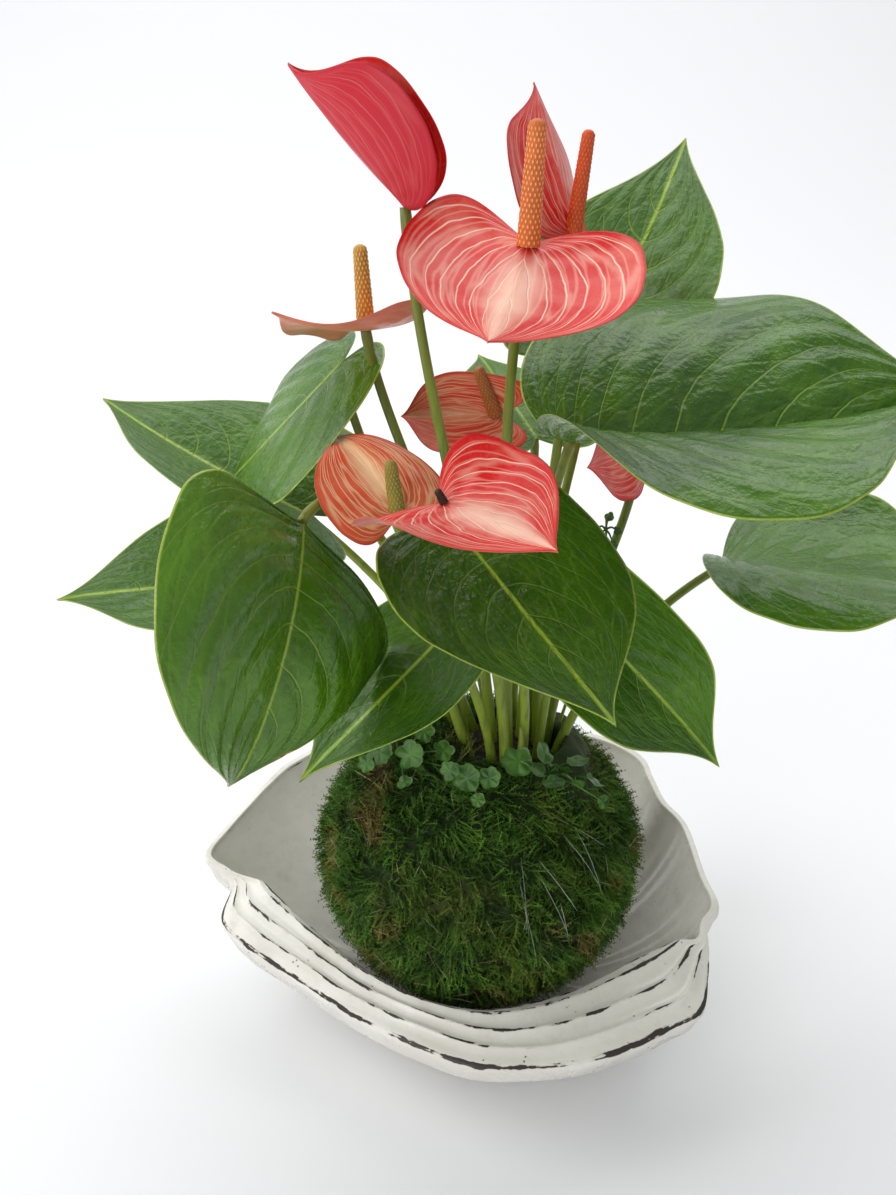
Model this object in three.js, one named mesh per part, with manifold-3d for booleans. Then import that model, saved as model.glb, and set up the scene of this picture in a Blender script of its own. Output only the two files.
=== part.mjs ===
// Anthurium kokedama: a flowering plant in a moss ball, standing in a folded ceramic bowl.
// Millimetres, +Z up, -Y is the front. The origin is the centre of the bowl's foot.
import * as THREE from "three";
import { mergeVertices } from "three/addons/utils/BufferGeometryUtils.js";
import Module from "manifold-3d";

const wasm = await Module();
wasm.setup();

// Driving dimensions
const gap = 0.3; // clearance between two pieces that touch
const plantScale = 1; // size of every leaf, flower and stem about the crown

const bowl = {
  footRadius: 40,
  floorRadius: 34, // flat floor that the ball stands on
  floorHeight: 10,
  lipDrop: 6, // thickness of the rim at its outer edge
  hollowBulge: 4, // how far the hollow's wall swells outwards half-way up
  scale: 1, // of the rim's plan
};
const ball = { radius: 60, halfHeight: 57 };
const mossThickness = 7;
const crown = { x: 12, y: 2, openingRadius: 25, rootDepth: 12 };
const bladeThickness = 1.2;
const petioleRadius = 1.8;
const stalkRadius = 1.9;
const spadixTaper = 0.72; // tip radius over base radius
const bractRadius = 1.1;
const stem = { steps: 7, sides: 3 }; // sides is for half a turn

ball.centre = bowl.floorHeight + gap + ball.halfHeight;
crown.z = ball.centre + ball.halfHeight - mossThickness; // top of the soil

// The bowl's rim, corner by corner round from the left: outer edge, then inner edge of the lip
const rimOuter = [
  [-110, 10, 55], [-80, 70, 62], [-10, 97, 61], [55, 90, 62], [80, 60, 60], [95, -12, 56],
  [90, -32, 45], [77, -60, 38], [43, -77, 37], [5, -86, 37], [-30, -77, 37], [-68, -45, 40],
  [-97, -20, 50],
];
const rimInner = [
  [-103, 10, 55], [-76, 66, 62], [-10, 91, 61], [51, 85, 62], [75, 57, 60], [88, -10, 56],
  [81, -24, 49], [64, -38, 45], [31, -55, 44], [3, -63, 44], [-21, -57, 44], [-47, -38, 45],
  [-77, -14, 50],
];

// Leaves: where the blade meets its petiole, how it is turned (degrees), its shape, and the petiole's foot.
// fold is each half's rise from the midrib and curl how much it bends further, in radians, left half first.
// The petiole stands on foot; lean and arrive shape its path.
const leaves = [
  {
    name: "leaf_right_large", at: [27, -35, 254], turn: [6, 5, 21], length: 134, width: 146,
    widest: 0.37, fold: [0.64, 1], curl: [-1.2, -1.2], bend: -0.27, lobe: 0.25, notch: 0.3,
    lift: [-0.5, 2.5], sweep: -0.11,
    foot: [22, 5], lean: [0, 5], arrive: [-9, 32, -50],
  },
  {
    name: "leaf_back_right", at: [43, 50, 262], turn: [55, 45, 13], length: 85, width: 78,
    widest: 0.16, fold: [-0.1, 0.27], curl: [0.23, 0.2], bend: 0.69, lobe: 0.42, notch: 0.7,
    lift: [0.5, 0.5], sweep: -0.17,
    foot: [21, 15], lean: [-6, -8], arrive: [-8, -18, -50],
  },
  {
    name: "leaf_far_right", at: [89, 10, 188], turn: [-17, 0, 7], length: 96, width: 106,
    widest: 0.4, fold: [-0.27, 0.82], curl: [0.73, -1.2], bend: 0.42, lobe: 0.39, notch: 1.4,
    lift: [0.1, 3.2], sweep: -0.31,
    foot: [28, 3], lean: [10, 0], arrive: [-22, 0, -14],
  },
  {
    name: "leaf_front_centre", at: [-11, -60, 237], turn: [-58, -18, 36], length: 92, width: 81,
    widest: 0.26, fold: [-0.56, 0.57], curl: [0.14, 0.44], bend: -0.88, lobe: 0.26, notch: 1.2,
    lift: [0.2, 0.1], sweep: 0,
    foot: [14, -13], lean: [6, -4], arrive: [20, 10, -35],
  },
  {
    name: "leaf_low_right", at: [29, -6, 181], turn: [-13, -46, 62], length: 88, width: 66,
    widest: 0.27, fold: [0.51, 0.44], curl: [0.54, 0.39], bend: 0.59, lobe: 0.3, notch: 0.5,
    lift: [0.5, 0.5], sweep: 0.06,
    foot: [21, -4], lean: [2, 0], arrive: [-2, 3, -25],
  },
  {
    name: "leaf_front_left", at: [-57, -56, 235], turn: [-128, -63, -54], length: 100, width: 113,
    widest: 0.29, fold: [-0.2, 0.94], curl: [-0.96, -0.8], bend: 1.8, lobe: 0.28, notch: 2.55,
    lift: [0.25, 0.6], sweep: 0,
    foot: [-1, -9], lean: [-18, 9], arrive: [18, 18, 25],
  },
  {
    name: "leaf_low_centre", at: [-10, -40, 190], turn: [-137, -25, -3], length: 74, width: 67,
    widest: 0.33, fold: [0.13, 0.08], curl: [0.44, -0.17], bend: 0.12, lobe: 0.33, notch: 0.4,
    lift: [0.5, -0.2], sweep: 0.07,
    foot: [5, -13], lean: [-1, -4], arrive: [3, 6, -25],
  },
  {
    name: "leaf_folded_left", at: [-51, 17, 261], turn: [166, -48, -57], length: 68, width: 74,
    widest: 0.35, fold: [0.7, -0.6], curl: [-0.33, -0.18], bend: 1.2, lobe: 0.5, notch: 0.3,
    lift: [0.24, -1.2], sweep: 0.37,
    foot: [-4, 1], lean: [-6, 2], arrive: [10, 6, -50],
  },
  {
    name: "leaf_back_left", at: [-65, 27, 200], turn: [151, 17, -13], length: 97, width: 86,
    widest: 0.12, fold: [0.46, 0.41], curl: [0.2, -0.47], bend: 0.45, lobe: 0.43, notch: 0.4,
    lift: [-0.58, 0.3], sweep: 0.3,
    foot: [0, 9], lean: [-8, 4], arrive: [20, -2, -18],
  },
  {
    name: "leaf_low_left", at: [-88, 8, 181], turn: [174, -9, -32], length: 71, width: 62,
    widest: 0.11, fold: [0.34, 0.2], curl: [0.29, 0.25], bend: 0.32, lobe: 0.42, notch: 0.7,
    lift: [0.5, 0.5], sweep: 0.06,
    foot: [-5, 6], lean: [-7, 2], arrive: [24, 0, -10],
  },
  {
    name: "leaf_back_pale", at: [21, 58, 218], turn: [112, 15, 3], length: 58, width: 52,
    widest: 0.17, fold: [0.26, 0.13], curl: [0.24, 0.27], bend: 0.42, lobe: 0.42, notch: 0.7,
    lift: [0.5, 0.5], sweep: 0.15,
    foot: [13, 19], lean: [0, 6], arrive: [2, -6, -35],
  },
];

// Flowers: as the leaves, with a spadix of its own length, radius and direction
const flowers = [
  {
    name: "flower_bud_top", at: [-25, -14, 322], turn: [157, 46, -45], length: 56, width: 60,
    widest: 0.42, fold: [1.25, 0.6], curl: [0.7, 0.6], bend: 0.5, lobe: 0.15, notch: 0.9,
    lift: [0.2, 0.2], sweep: 0.2,
    foot: [5, 2], lean: [-4, 0], arrive: [4, -14, -60],
    spadix: { length: 24, radius: 2.6, along: [-0.1, 0.05, 1] }, colour: 0xc4283a,
  },
  {
    name: "flower_main", at: [12, -30, 314], turn: [-101, -5, -20], length: 73, width: 75,
    widest: 0.16, fold: [0, -0.4], curl: [0.65, 0.5], bend: -0.6, lobe: 0.38, notch: 0.8,
    lift: [0.65, 0.8], sweep: 0.05,
    foot: [10, -6], lean: [0, 0], arrive: [-9, 14, -70],
    spadix: { length: 37, radius: 3.5, along: [0.05, 0, 1] }, colour: 0xd8342f,
  },
  {
    name: "flower_upright_back", at: [30, 25, 304], turn: [112, 52, 0], length: 56, width: 58,
    widest: 0.3, fold: [0.3, -0.8], curl: [0.5, -0.3], bend: 0.6, lobe: 0.3, notch: 1.5,
    lift: [0.5, 1.5], sweep: 0.1,
    foot: [16, 8], lean: [0, 0], arrive: [4, 4, -70],
    spadix: { length: 34, radius: 2.8, along: [0.11, -0.05, 1] }, colour: 0xd8342f,
  },
  {
    name: "flower_edge_left", at: [-39, 2, 279], turn: [-126, 20, -13], length: 48, width: 51,
    widest: 0.03, fold: [0.23, -0.25], curl: [1.1, -0.54], bend: -0.4, lobe: 0.43, notch: 0.9,
    lift: [-0.4, -1], sweep: 0.04,
    foot: [6, 9], lean: [-7, 4], arrive: [24, 12, -11],
    spadix: { length: 27, radius: 2.9, along: [-0.05, 0, 1] }, colour: 0xe0a080,
  },
  {
    name: "flower_middle_back", at: [3.1 + stalkRadius, 23.1 + stalkRadius, 239], // clears edge_left's stalk
    turn: [152, -11, -67], length: 41, width: 40,
    widest: 0.19, fold: [0.51, 0.54], curl: [0.41, 0.54], bend: 0.82, lobe: 0.5, notch: 0.4,
    lift: [0.5, 0.5], sweep: 0,
    foot: [9, 17], lean: [0, 0], arrive: [2, -2, -50],
    spadix: { length: 22, radius: 2.6, along: [-0.3, -0.3, 0.9] }, colour: 0xd9714d,
  },
  {
    name: "flower_orange_left", at: [-28, -48, 235], turn: [121, 13, -8], length: 47, width: 43,
    widest: 0.15, fold: [0.1, 0.34], curl: [0, -1], bend: 1.08, lobe: 0.37, notch: 0.97,
    lift: [0.6, 0.5], sweep: 0.11,
    foot: [-4, -4], lean: [-5, 4], arrive: [4, 28, -20],
    spadix: { length: 18, radius: 2.6, along: [-0.1, -0.1, 1] }, colour: 0xe08a50,
  },
  {
    name: "flower_front_red", at: [-13, -75, 250], turn: [-58, 8, 13], length: 57, width: 58,
    widest: 0.06, fold: [-0.05, -0.2], curl: [0.43, 1.1], bend: -0.24, lobe: 0.4, notch: 0.57,
    lift: [1.4, -1], sweep: 0.21,
    foot: [9, -17], lean: [2, 2], arrive: [-3, 40, 21],
    spadix: { length: 5, radius: 1.3, along: [-0.5, 0, 1] }, colour: 0xd8342f,
  },
  {
    name: "flower_hidden_right", at: [56, 20, 228], turn: [122, -31, -77], length: 35, width: 36,
    widest: 0.12, fold: [0.09, 0.15], curl: [0.08, 0.1], bend: 0.16, lobe: 0.41, notch: 0.71,
    lift: [1.2, 0.5], sweep: 0,
    foot: [25, 10], lean: [4, 0], arrive: [-2, 0, -40],
    spadix: { length: 18, radius: 2.2, along: [0, -0.5, 0.8] }, colour: 0xc8443c,
  },
];

// Small weeds that grow in the moss: foot on the ball (degrees round it, degrees up), rise, and leaflets
const weeds = [
  { name: "weed_sprig_left", at: [-160, 58], lean: [-8, -10, 14],
    leaflets: [[-7, -6, 8], [4, -9, 9], [-13, 1, 13], [-2, -2, 16]], size: 5.2 },
  { name: "weed_leaf_front", at: [-95, 62], lean: [1, -6, 8],
    leaflets: [[-3, -7, 7], [4, -9, 8]], size: 5 },
  { name: "weed_creeper_right", at: [-38, 58], lean: [12, -6, 5],
    leaflets: [[4, -3, 5], [10, -1, 7], [16, -8, 4], [8, -9, 5]], size: 4.4 },
];

// A young shoot and a weed's stem that stand in the crown: foot, lean, tip and radius at the foot
const shoots = [
  { name: "new_shoot", foot: [15, -20], lean: [0, 0], tip: [14, -22, 138], radius: 1.4,
    leaflets: [], colour: 0x8a9a3a },
  { name: "weed_frond", foot: [28, 13], lean: [9, -4], tip: [44, 6, 208], radius: 0.7,
    leaflets: [[1, 0, 2], [-3, -1, -3], [4, -1, -4], [-2, 1, -9], [3, 0, -10]], colour: 0x4c7a2c },
];

// Dry bracts, each on the side of a stalk: share of the way up it, side it points to, and length
const bracts = [
  { name: "bract_left", stalk: "flower_bud_top", share: 0.6, side: [0.9, -0.4, 0], length: 11 },
  { name: "bract_right", stalk: "flower_upright_back", share: 0.62, side: [0.9, -0.4, 0], length: 14 },
];

const up = new THREE.Vector3(0, 0, 1);
const vector = ([x, y, z]) => new THREE.Vector3(x, y, z);

// --- solids -------------------------------------------------------------------------------------------

function toSolid(geometry) {
  const bare = geometry.clone();
  bare.deleteAttribute("normal");
  bare.deleteAttribute("uv");
  const merged = mergeVertices(bare, 1e-3);
  const triVerts = new Uint32Array(merged.index.array);
  return new wasm.Manifold(
    new wasm.Mesh({ numProp: 3, vertProperties: merged.attributes.position.array, triVerts }),
  );
}

function toGeometry(solid) {
  const mesh = solid.getMesh();
  const geometry = new THREE.BufferGeometry();
  geometry.setAttribute("position", new THREE.BufferAttribute(mesh.vertProperties, 3));
  geometry.setIndex(new THREE.BufferAttribute(mesh.triVerts, 1));
  geometry.computeVertexNormals();
  return geometry;
}

// A small weed leaf: a flattened ball whose broad side faces a direction.
function leaflet(centre, facing, size) {
  const disc = new THREE.SphereGeometry(1, 6, 3).scale(size, 0.9, size * 0.8).rotateX(Math.PI / 2);
  const turned = new THREE.Quaternion().setFromUnitVectors(up, facing.clone().normalize());
  return toSolid(disc.applyQuaternion(turned).translate(centre.x, centre.y, centre.z));
}

const largest = (solid) => solid.decompose().sort((a, b) => b.volume() - a.volume())[0];

// A closed skin over rows of points, each row a ring; the first and last rows are single points.
// From row turn on, the quads are split along their other diagonal.
function skin(rows, turn = rows.length) {
  const positions = [];
  const faces = [];
  const starts = rows.map((row) => {
    positions.push(...row.flatMap((p) => [p.x, p.y, p.z]));
    return positions.length / 3 - row.length;
  });
  rows.slice(1).forEach((row, i) => {
    const [a, b] = [starts[i], starts[i + 1]];
    const [na, nb] = [rows[i].length, row.length];
    const n = Math.max(na, nb);
    for (let k = 0; k < n; k++) {
      const [a0, a1] = [a + (k % na), a + ((k + 1) % na)];
      const [b0, b1] = [b + (k % nb), b + ((k + 1) % nb)];
      const [c0, c1] = i < turn ? [b1, a0] : [b0, a1];
      if (na > 1) faces.push(a0, a1, c0);
      if (nb > 1) faces.push(c1, b1, b0);
    }
  });
  const geometry = new THREE.BufferGeometry();
  geometry.setAttribute("position", new THREE.Float32BufferAttribute(positions, 3));
  geometry.setIndex(faces);
  geometry.computeVertexNormals();
  return geometry;
}

function tube(curve, radius, steps, sides) {
  const round = new THREE.Shape().absarc(0, 0, radius, 0, 2 * Math.PI);
  return new THREE.ExtrudeGeometry(round, { steps, curveSegments: sides, extrudePath: curve });
}

// --- blades -------------------------------------------------------------------------------------------

// Half a heart: from the notch back round the lobe to the widest point, then on to the tip.
function halfOutline(blade, steps) {
  const { length, width, lobe, notch, widest } = blade;
  const start = new THREE.Vector2(-0.02 * length, 0);
  const side = new THREE.Vector2(widest * length, width / 2);
  const back = new THREE.Vector2(-Math.cos(notch), Math.sin(notch)).multiplyScalar(lobe * length);
  const round = new THREE.CubicBezierCurve(
    start, start.clone().add(back), side.clone().add(new THREE.Vector2(-0.36 * length, 0)), side,
  );
  const taper = new THREE.CubicBezierCurve(
    side, side.clone().add(new THREE.Vector2(0.36 * length, 0)),
    new THREE.Vector2(0.68 * length, 0.1 * width), new THREE.Vector2(length, 0),
  );
  return [...round.getPoints(steps), ...taper.getPoints(steps).slice(1)];
}

// A flat point (a along the midrib, b across it) on the curved blade, with the blade's upward normal.
function onBlade(blade, a, b, offset) {
  const { length, width, sweep } = blade;
  const half = b >= 0 ? 0 : 1;
  const fold = blade.fold[half];
  const curl = blade.curl[half] || 1e-3;
  const w = Math.abs(b) / (width / 2);
  const side = b >= 0 ? 1 : -1;
  const y = (side * (width / 2) * (Math.sin(fold + curl * w) - Math.sin(fold))) / curl
    + sweep * a * (1 - a / length);
  const lobeRise = blade.lift[half] * length * Math.max(0, 0.12 - a / length) ** 2 * w;
  const z = ((width / 2) * (Math.cos(fold) - Math.cos(fold + curl * w))) / curl + lobeRise;
  const slope = fold + curl * w;
  const bend = blade.bend || 1e-3;
  const rate = bend / length;
  const start = bend / 2;
  const here = start - rate * a;
  const normalZ = Math.cos(slope);
  const normalY = -side * Math.sin(slope);
  const across = z + offset * normalZ;
  return new THREE.Vector3(
    (Math.sin(start) - Math.sin(here)) / rate - across * Math.sin(here),
    y + offset * normalY,
    (Math.cos(here) - Math.cos(start)) / rate + across * Math.cos(here),
  );
}

// The blade as a thin closed shell, grown on all sides by extra.
function bladeGeometry(blade, extra = 0) {
  const steps = 5;
  const rings = [0.4, 0.82];
  const half = halfOutline(blade, steps);
  const other = half.slice(1, -1).reverse().map((p) => new THREE.Vector2(p.x, -p.y));
  const outline = [...half, ...other];
  const rim = 1 + (2 * extra) / blade.width;
  const ring = (share, offset) => outline.map((p) => onBlade(blade, p.x * share, p.y * share, offset));
  const under = (share) => -bladeThickness * (1 - share ** 4) - extra;
  return skin([
    [onBlade(blade, 0, 0, under(0))],
    ...rings.map((share) => ring(share, under(share)).reverse()),
    ring(rim, -bladeThickness / 4).reverse(),
    ...rings.toReversed().map((share) => ring(share, extra).reverse()),
    [onBlade(blade, 0, 0, extra)],
  ], rings.length + 1); // upper and lower faces then fold along the same lines
}

function placement(blade) {
  const [yaw, pitch, roll] = blade.turn.map(THREE.MathUtils.degToRad);
  const turned = new THREE.Matrix4().makeRotationFromEuler(new THREE.Euler(roll, -pitch, yaw, "ZYX"));
  return turned.setPosition(jointOf(blade));
}

// The plant grows about the crown: its joints, tips and feet all move out with plantScale.
function grown(point) {
  const base = new THREE.Vector3(crown.x, crown.y, crown.z);
  return vector(point).sub(base).multiplyScalar(plantScale).add(base);
}

const jointOf = (blade) => grown(blade.at);
const footOf = (row) => grown([...row.foot, crown.z - crown.rootDepth]);

const sized = (blade) => ({
  ...blade,
  length: blade.length * plantScale,
  width: blade.width * plantScale,
});

// --- stems --------------------------------------------------------------------------------------------

// From the foot in the soil to the blade's underside: lean moves the lower part of the stem sideways, and
// arrive is where the upper part comes from, measured from the joint.
function stemCurve(blade) {
  const joint = jointOf(blade);
  const foot = footOf(blade);
  const rise = 0.4 * joint.distanceTo(foot);
  const normal = new THREE.Vector3(0, 0, 1).transformDirection(placement(blade));
  const lean = vector([...blade.lean, 0]).multiplyScalar(plantScale);
  const first = foot.clone().add(lean).addScaledVector(up, rise);
  const last = joint.clone().addScaledVector(vector(blade.arrive), plantScale);
  const end = joint.clone().addScaledVector(normal, -bladeThickness);
  return new THREE.CubicBezierCurve3(foot, first, last, end);
}

// --- assembly -----------------------------------------------------------------------------------------

const root = new THREE.Group();
const plant = new THREE.Group();
const holder = new THREE.Group();
root.add(plant, holder);

function add(group, name, geometry, colour, roughness) {
  const material = new THREE.MeshStandardMaterial({ color: colour, roughness, metalness: 0 });
  const mesh = new THREE.Mesh(geometry, material);
  mesh.name = name;
  group.add(mesh);
  return mesh;
}

const stems = [];

function addStem(blade, name, radius, colour) {
  const curve = stemCurve(blade);
  const cutter = toSolid(bladeGeometry(sized(blade), gap).applyMatrix4(placement(blade)));
  const solid = largest(toSolid(tube(curve, radius, stem.steps, stem.sides)).subtract(cutter));
  add(plant, name, toGeometry(solid), colour, 0.45);
  stems.push({ name, curve, radius });
  return { cutter, grownStem: toSolid(tube(curve, radius + gap, stem.steps, stem.sides)) };
}

for (const leaf of leaves) {
  const blade = add(plant, leaf.name + "_blade", bladeGeometry(sized(leaf)), 0x2f5a1e, 0.3);
  placement(leaf).decompose(blade.position, blade.quaternion, blade.scale);
  addStem(leaf, leaf.name + "_petiole", petioleRadius, 0x6f7f26);
}

for (const flower of flowers) {
  const { spadix } = flower;
  const blade = add(plant, flower.name + "_spathe", bladeGeometry(sized(flower)), flower.colour, 0.35);
  placement(flower).decompose(blade.position, blade.quaternion, blade.scale);
  const { cutter, grownStem } = addStem(flower, flower.name + "_stalk", stalkRadius, 0x7a7a22);
  const length = spadix.length * plantScale;
  const tip = spadix.radius * spadixTaper;
  const profile = new THREE.Path().moveTo(0, 0).lineTo(spadix.radius, 0).lineTo(tip, length - tip);
  profile.absarc(0, length - tip, tip, 0, Math.PI / 2);
  const column = new THREE.LatheGeometry(profile.getPoints(3), 8);
  const direction = vector(spadix.along).normalize();
  const turned = new THREE.Quaternion().setFromUnitVectors(new THREE.Vector3(0, 1, 0), direction);
  const base = jointOf(flower).addScaledVector(direction, gap);
  column.applyMatrix4(new THREE.Matrix4().compose(base, turned, new THREE.Vector3(1, 1, 1)));
  const solid = largest(toSolid(column).subtract(cutter).subtract(grownStem));
  add(plant, flower.name + "_spadix", toGeometry(solid), 0xd9772b, 0.6);
}

for (const shoot of shoots) {
  const foot = footOf(shoot);
  const tip = grown(shoot.tip);
  const middle = foot.clone().lerp(tip, 0.5).addScaledVector(vector([...shoot.lean, 0]), plantScale);
  const curve = new THREE.QuadraticBezierCurve3(foot, middle, tip);
  let solid = toSolid(tube(curve, shoot.radius, stem.steps, stem.sides));
  for (const place of shoot.leaflets) solid = solid.add(leaflet(tip.clone().add(vector(place)), up, 3.2));
  add(plant, shoot.name, toGeometry(largest(solid)), shoot.colour, 0.5);
  stems.push({ name: shoot.name, curve, radius: shoot.radius });
}

for (const bract of bracts) {
  const { curve, radius } = stems.find(({ name }) => name === bract.stalk + "_stalk");
  const out = vector(bract.side).normalize();
  const cone = new THREE.ConeGeometry(bractRadius, bract.length, 6).rotateX(Math.PI / 2);
  cone.translate(0, 0, bract.length / 2);
  const lie = out.clone().multiplyScalar(0.5).add(up).normalize();
  const turned = new THREE.Quaternion().setFromUnitVectors(up, lie);
  const base = curve.getPointAt(bract.share).addScaledVector(out, radius + gap + bractRadius);
  cone.applyMatrix4(new THREE.Matrix4().compose(base, turned, new THREE.Vector3(1, 1, 1)));
  add(plant, bract.name, cone, 0x6a3a22, 0.8);
}

// The ball: soil with a socket for each stem, and moss round it with an opening at the crown
function ellipsoid(inset) {
  const sphere = new THREE.SphereGeometry(1, 20, 12).rotateX(Math.PI / 2);
  sphere.scale(ball.radius - inset, ball.radius - inset, ball.halfHeight - inset);
  return toSolid(sphere.translate(0, 0, ball.centre));
}

const openingRadius = crown.openingRadius * plantScale;
const opening = new THREE.CylinderGeometry(openingRadius, openingRadius, ball.halfHeight, 24);
opening.rotateX(Math.PI / 2).translate(crown.x, crown.y, ball.centre + ball.halfHeight);
const moss = ellipsoid(0).subtract(ellipsoid(mossThickness - gap)).subtract(toSolid(opening));
let soil = ellipsoid(mossThickness);
for (const { curve, radius } of stems) {
  soil = soil.subtract(toSolid(tube(curve, radius + gap, stem.steps, stem.sides)));
}
add(holder, "moss_shell", toGeometry(largest(moss)), 0x2c4418, 0.95);
add(holder, "soil_ball", toGeometry(largest(soil)), 0x2a1d12, 1);

function weedSolid({ at, lean, leaflets, size }) {
  const [round, above] = at.map(THREE.MathUtils.degToRad);
  const [c, s] = [Math.cos(above), Math.sin(above)];
  const foot = new THREE.Vector3(
    ball.radius * c * Math.cos(round), ball.radius * c * Math.sin(round), ball.centre + ball.halfHeight * s,
  );
  const stemTo = (end) => {
    const middle = end.clone().add(foot).multiplyScalar(0.5).addScaledVector(up, 2);
    return toSolid(tube(new THREE.QuadraticBezierCurve3(foot, middle, end), 0.6, 3, 2));
  };
  let solid = stemTo(foot.clone().add(vector(lean)));
  for (const place of leaflets) {
    const end = foot.clone().add(vector(place));
    solid = solid.add(stemTo(end)).add(leaflet(end, vector(place).setZ(size * 2), size));
  }
  return largest(solid.subtract(ellipsoid(-gap)));
}

for (const weed of weeds) add(plant, weed.name, toGeometry(weedSolid(weed)), 0x4c7a2c, 0.5);

// --- bowl ---------------------------------------------------------------------------------------------

function bowlGeometry() {
  const columns = 52;
  const loop = (points) =>
    new THREE.CatmullRomCurve3(points.map(vector), true).getPoints(columns).slice(1).reverse();
  const widen = (p) => p.multiply(new THREE.Vector3(bowl.scale, bowl.scale, 1));
  const outer = loop(rimOuter).map(widen);
  const inner = loop(rimInner).map(widen);
  const level = (p, radius, z) => new THREE.Vector3(p.x, p.y, 0).setLength(radius).setZ(z);
  const plan = (p) => Math.hypot(p.x, p.y);
  const reach = (p, radius, share) => radius + (plan(p) - radius) * share;
  return skin([
    [new THREE.Vector3()],
    outer.map((p) => level(p, bowl.footRadius, 0)),
    outer.map((p) => level(p, bowl.footRadius + 2, 3)),
    outer.map((p) => level(p, reach(p, bowl.footRadius, 0.5), p.z * 0.34)),
    outer.map((p) => level(p, plan(p) - 3, p.z - bowl.lipDrop)),
    outer,
    outer.map((p, i) => p.clone().lerp(inner[i], 0.5).add(new THREE.Vector3(0, 0, 1))),
    inner,
    inner.map((p) =>
      level(p, reach(p, bowl.floorRadius, 0.5) + bowl.hollowBulge, (p.z + bowl.floorHeight) / 2 - 1),
    ),
    inner.map((p) => level(p, bowl.floorRadius, bowl.floorHeight)),
    [new THREE.Vector3(0, 0, bowl.floorHeight)],
  ]);
}

add(holder, "bowl", toGeometry(toSolid(bowlGeometry())), 0xe9e5dc, 0.35);

export default root;
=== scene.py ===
import math
import bpy
import bmesh
import numpy as np
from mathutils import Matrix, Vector


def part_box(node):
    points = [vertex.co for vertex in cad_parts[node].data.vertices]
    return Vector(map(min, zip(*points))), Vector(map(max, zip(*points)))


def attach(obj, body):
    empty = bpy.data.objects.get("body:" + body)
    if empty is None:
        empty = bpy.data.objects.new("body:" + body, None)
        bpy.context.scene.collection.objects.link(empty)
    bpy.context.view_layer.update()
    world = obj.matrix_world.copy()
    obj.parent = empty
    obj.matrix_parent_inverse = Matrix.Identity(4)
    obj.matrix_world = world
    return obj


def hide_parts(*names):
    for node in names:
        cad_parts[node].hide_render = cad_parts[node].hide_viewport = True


# Anthurium in a moss ball, standing in a folded white bowl.
# Rows below are in millimetres, like the solids; meshes are made in metres.

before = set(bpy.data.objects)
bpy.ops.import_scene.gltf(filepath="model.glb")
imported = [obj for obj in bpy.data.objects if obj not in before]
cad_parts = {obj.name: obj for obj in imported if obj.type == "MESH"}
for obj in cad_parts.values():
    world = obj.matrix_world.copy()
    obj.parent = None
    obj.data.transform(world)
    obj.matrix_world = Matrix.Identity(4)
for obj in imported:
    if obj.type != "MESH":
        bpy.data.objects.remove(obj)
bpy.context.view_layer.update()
mm = 0.001


# small helpers for meshes

def makePiece(name, points, faces, material, uv=None, smooth=True, values=None, replaces=()):
    # points in millimetres, faces as one array of quads (or triangles); uv and values are one per point
    mesh = bpy.data.meshes.new(name)
    points = np.asarray(points, float).reshape(-1, 3) * mm
    faces = np.asarray(faces, int)
    sides = faces.shape[1]
    mesh.vertices.add(len(points))
    mesh.vertices.foreach_set("co", points.ravel())
    mesh.loops.add(faces.size)
    mesh.loops.foreach_set("vertex_index", faces.ravel())
    mesh.polygons.add(len(faces))
    mesh.polygons.foreach_set("loop_start", np.arange(len(faces)) * sides)
    mesh.polygons.foreach_set("loop_total", np.full(len(faces), sides))
    mesh.update(calc_edges=True)
    if uv is not None:
        layer = mesh.uv_layers.new(name="UVMap")
        layer.data.foreach_set("uv", np.asarray(uv, float)[faces.ravel()].ravel())
    for key, numbers in (values or {}).items():
        attribute = mesh.attributes.new(key, "FLOAT", "POINT")
        attribute.data.foreach_set("value", np.asarray(numbers, float).ravel())
    mesh.polygons.foreach_set("use_smooth", np.full(len(faces), smooth))
    mesh.materials.append(material)
    piece = bpy.data.objects.new(name, mesh)
    bpy.context.scene.collection.objects.link(piece)
    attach(piece, "root")
    if replaces:
        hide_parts(*replaces)
    return piece


def closeSeams(piece, distance=2e-6):
    # points that meet at poles and seams become one, and faces without area go
    mesh = bmesh.new()
    mesh.from_mesh(piece.data)
    bmesh.ops.remove_doubles(mesh, verts=mesh.verts, dist=distance)
    bmesh.ops.dissolve_degenerate(mesh, edges=mesh.edges, dist=distance)
    mesh.to_mesh(piece.data)
    mesh.free()
    return piece


def gridFaces(rows, columns, wrap=False, start=0):
    # quads between neighbouring rows of a grid of points; wrap joins the last column to the first
    i, j = np.meshgrid(np.arange(rows - 1), np.arange(columns if wrap else columns - 1), indexing="ij")
    k = (j + 1) % columns
    quads = [i * columns + j, i * columns + k, (i + 1) * columns + k, (i + 1) * columns + j]
    return start + np.stack(quads, -1).reshape(-1, 4)


def smoothStep(low, high, x):
    t = np.clip((x - low) / (high - low), 0, 1)
    return t * t * (3 - 2 * t)


def waveNoise(points, scale, seed, terms=7):
    # soft noise in -1..1: a sum of sine waves in random directions
    rng = np.random.default_rng(seed)
    total = np.zeros(points.shape[:-1])
    for _ in range(terms):
        direction = rng.normal(size=3)
        direction *= rng.uniform(0.6, 1.6) / np.linalg.norm(direction)
        total += np.sin(points @ direction * (2 * np.pi / scale) + rng.uniform(0, 6.28))
    return total / terms * 1.6


def bezier(points, t):
    # a cubic curve through its first and last control point
    p = np.asarray(points, float)
    t = np.asarray(t)[..., None]
    return (1 - t) ** 3 * p[0] + 3 * (1 - t) ** 2 * t * p[1] + 3 * (1 - t) * t * t * p[2] + t ** 3 * p[3]


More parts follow.
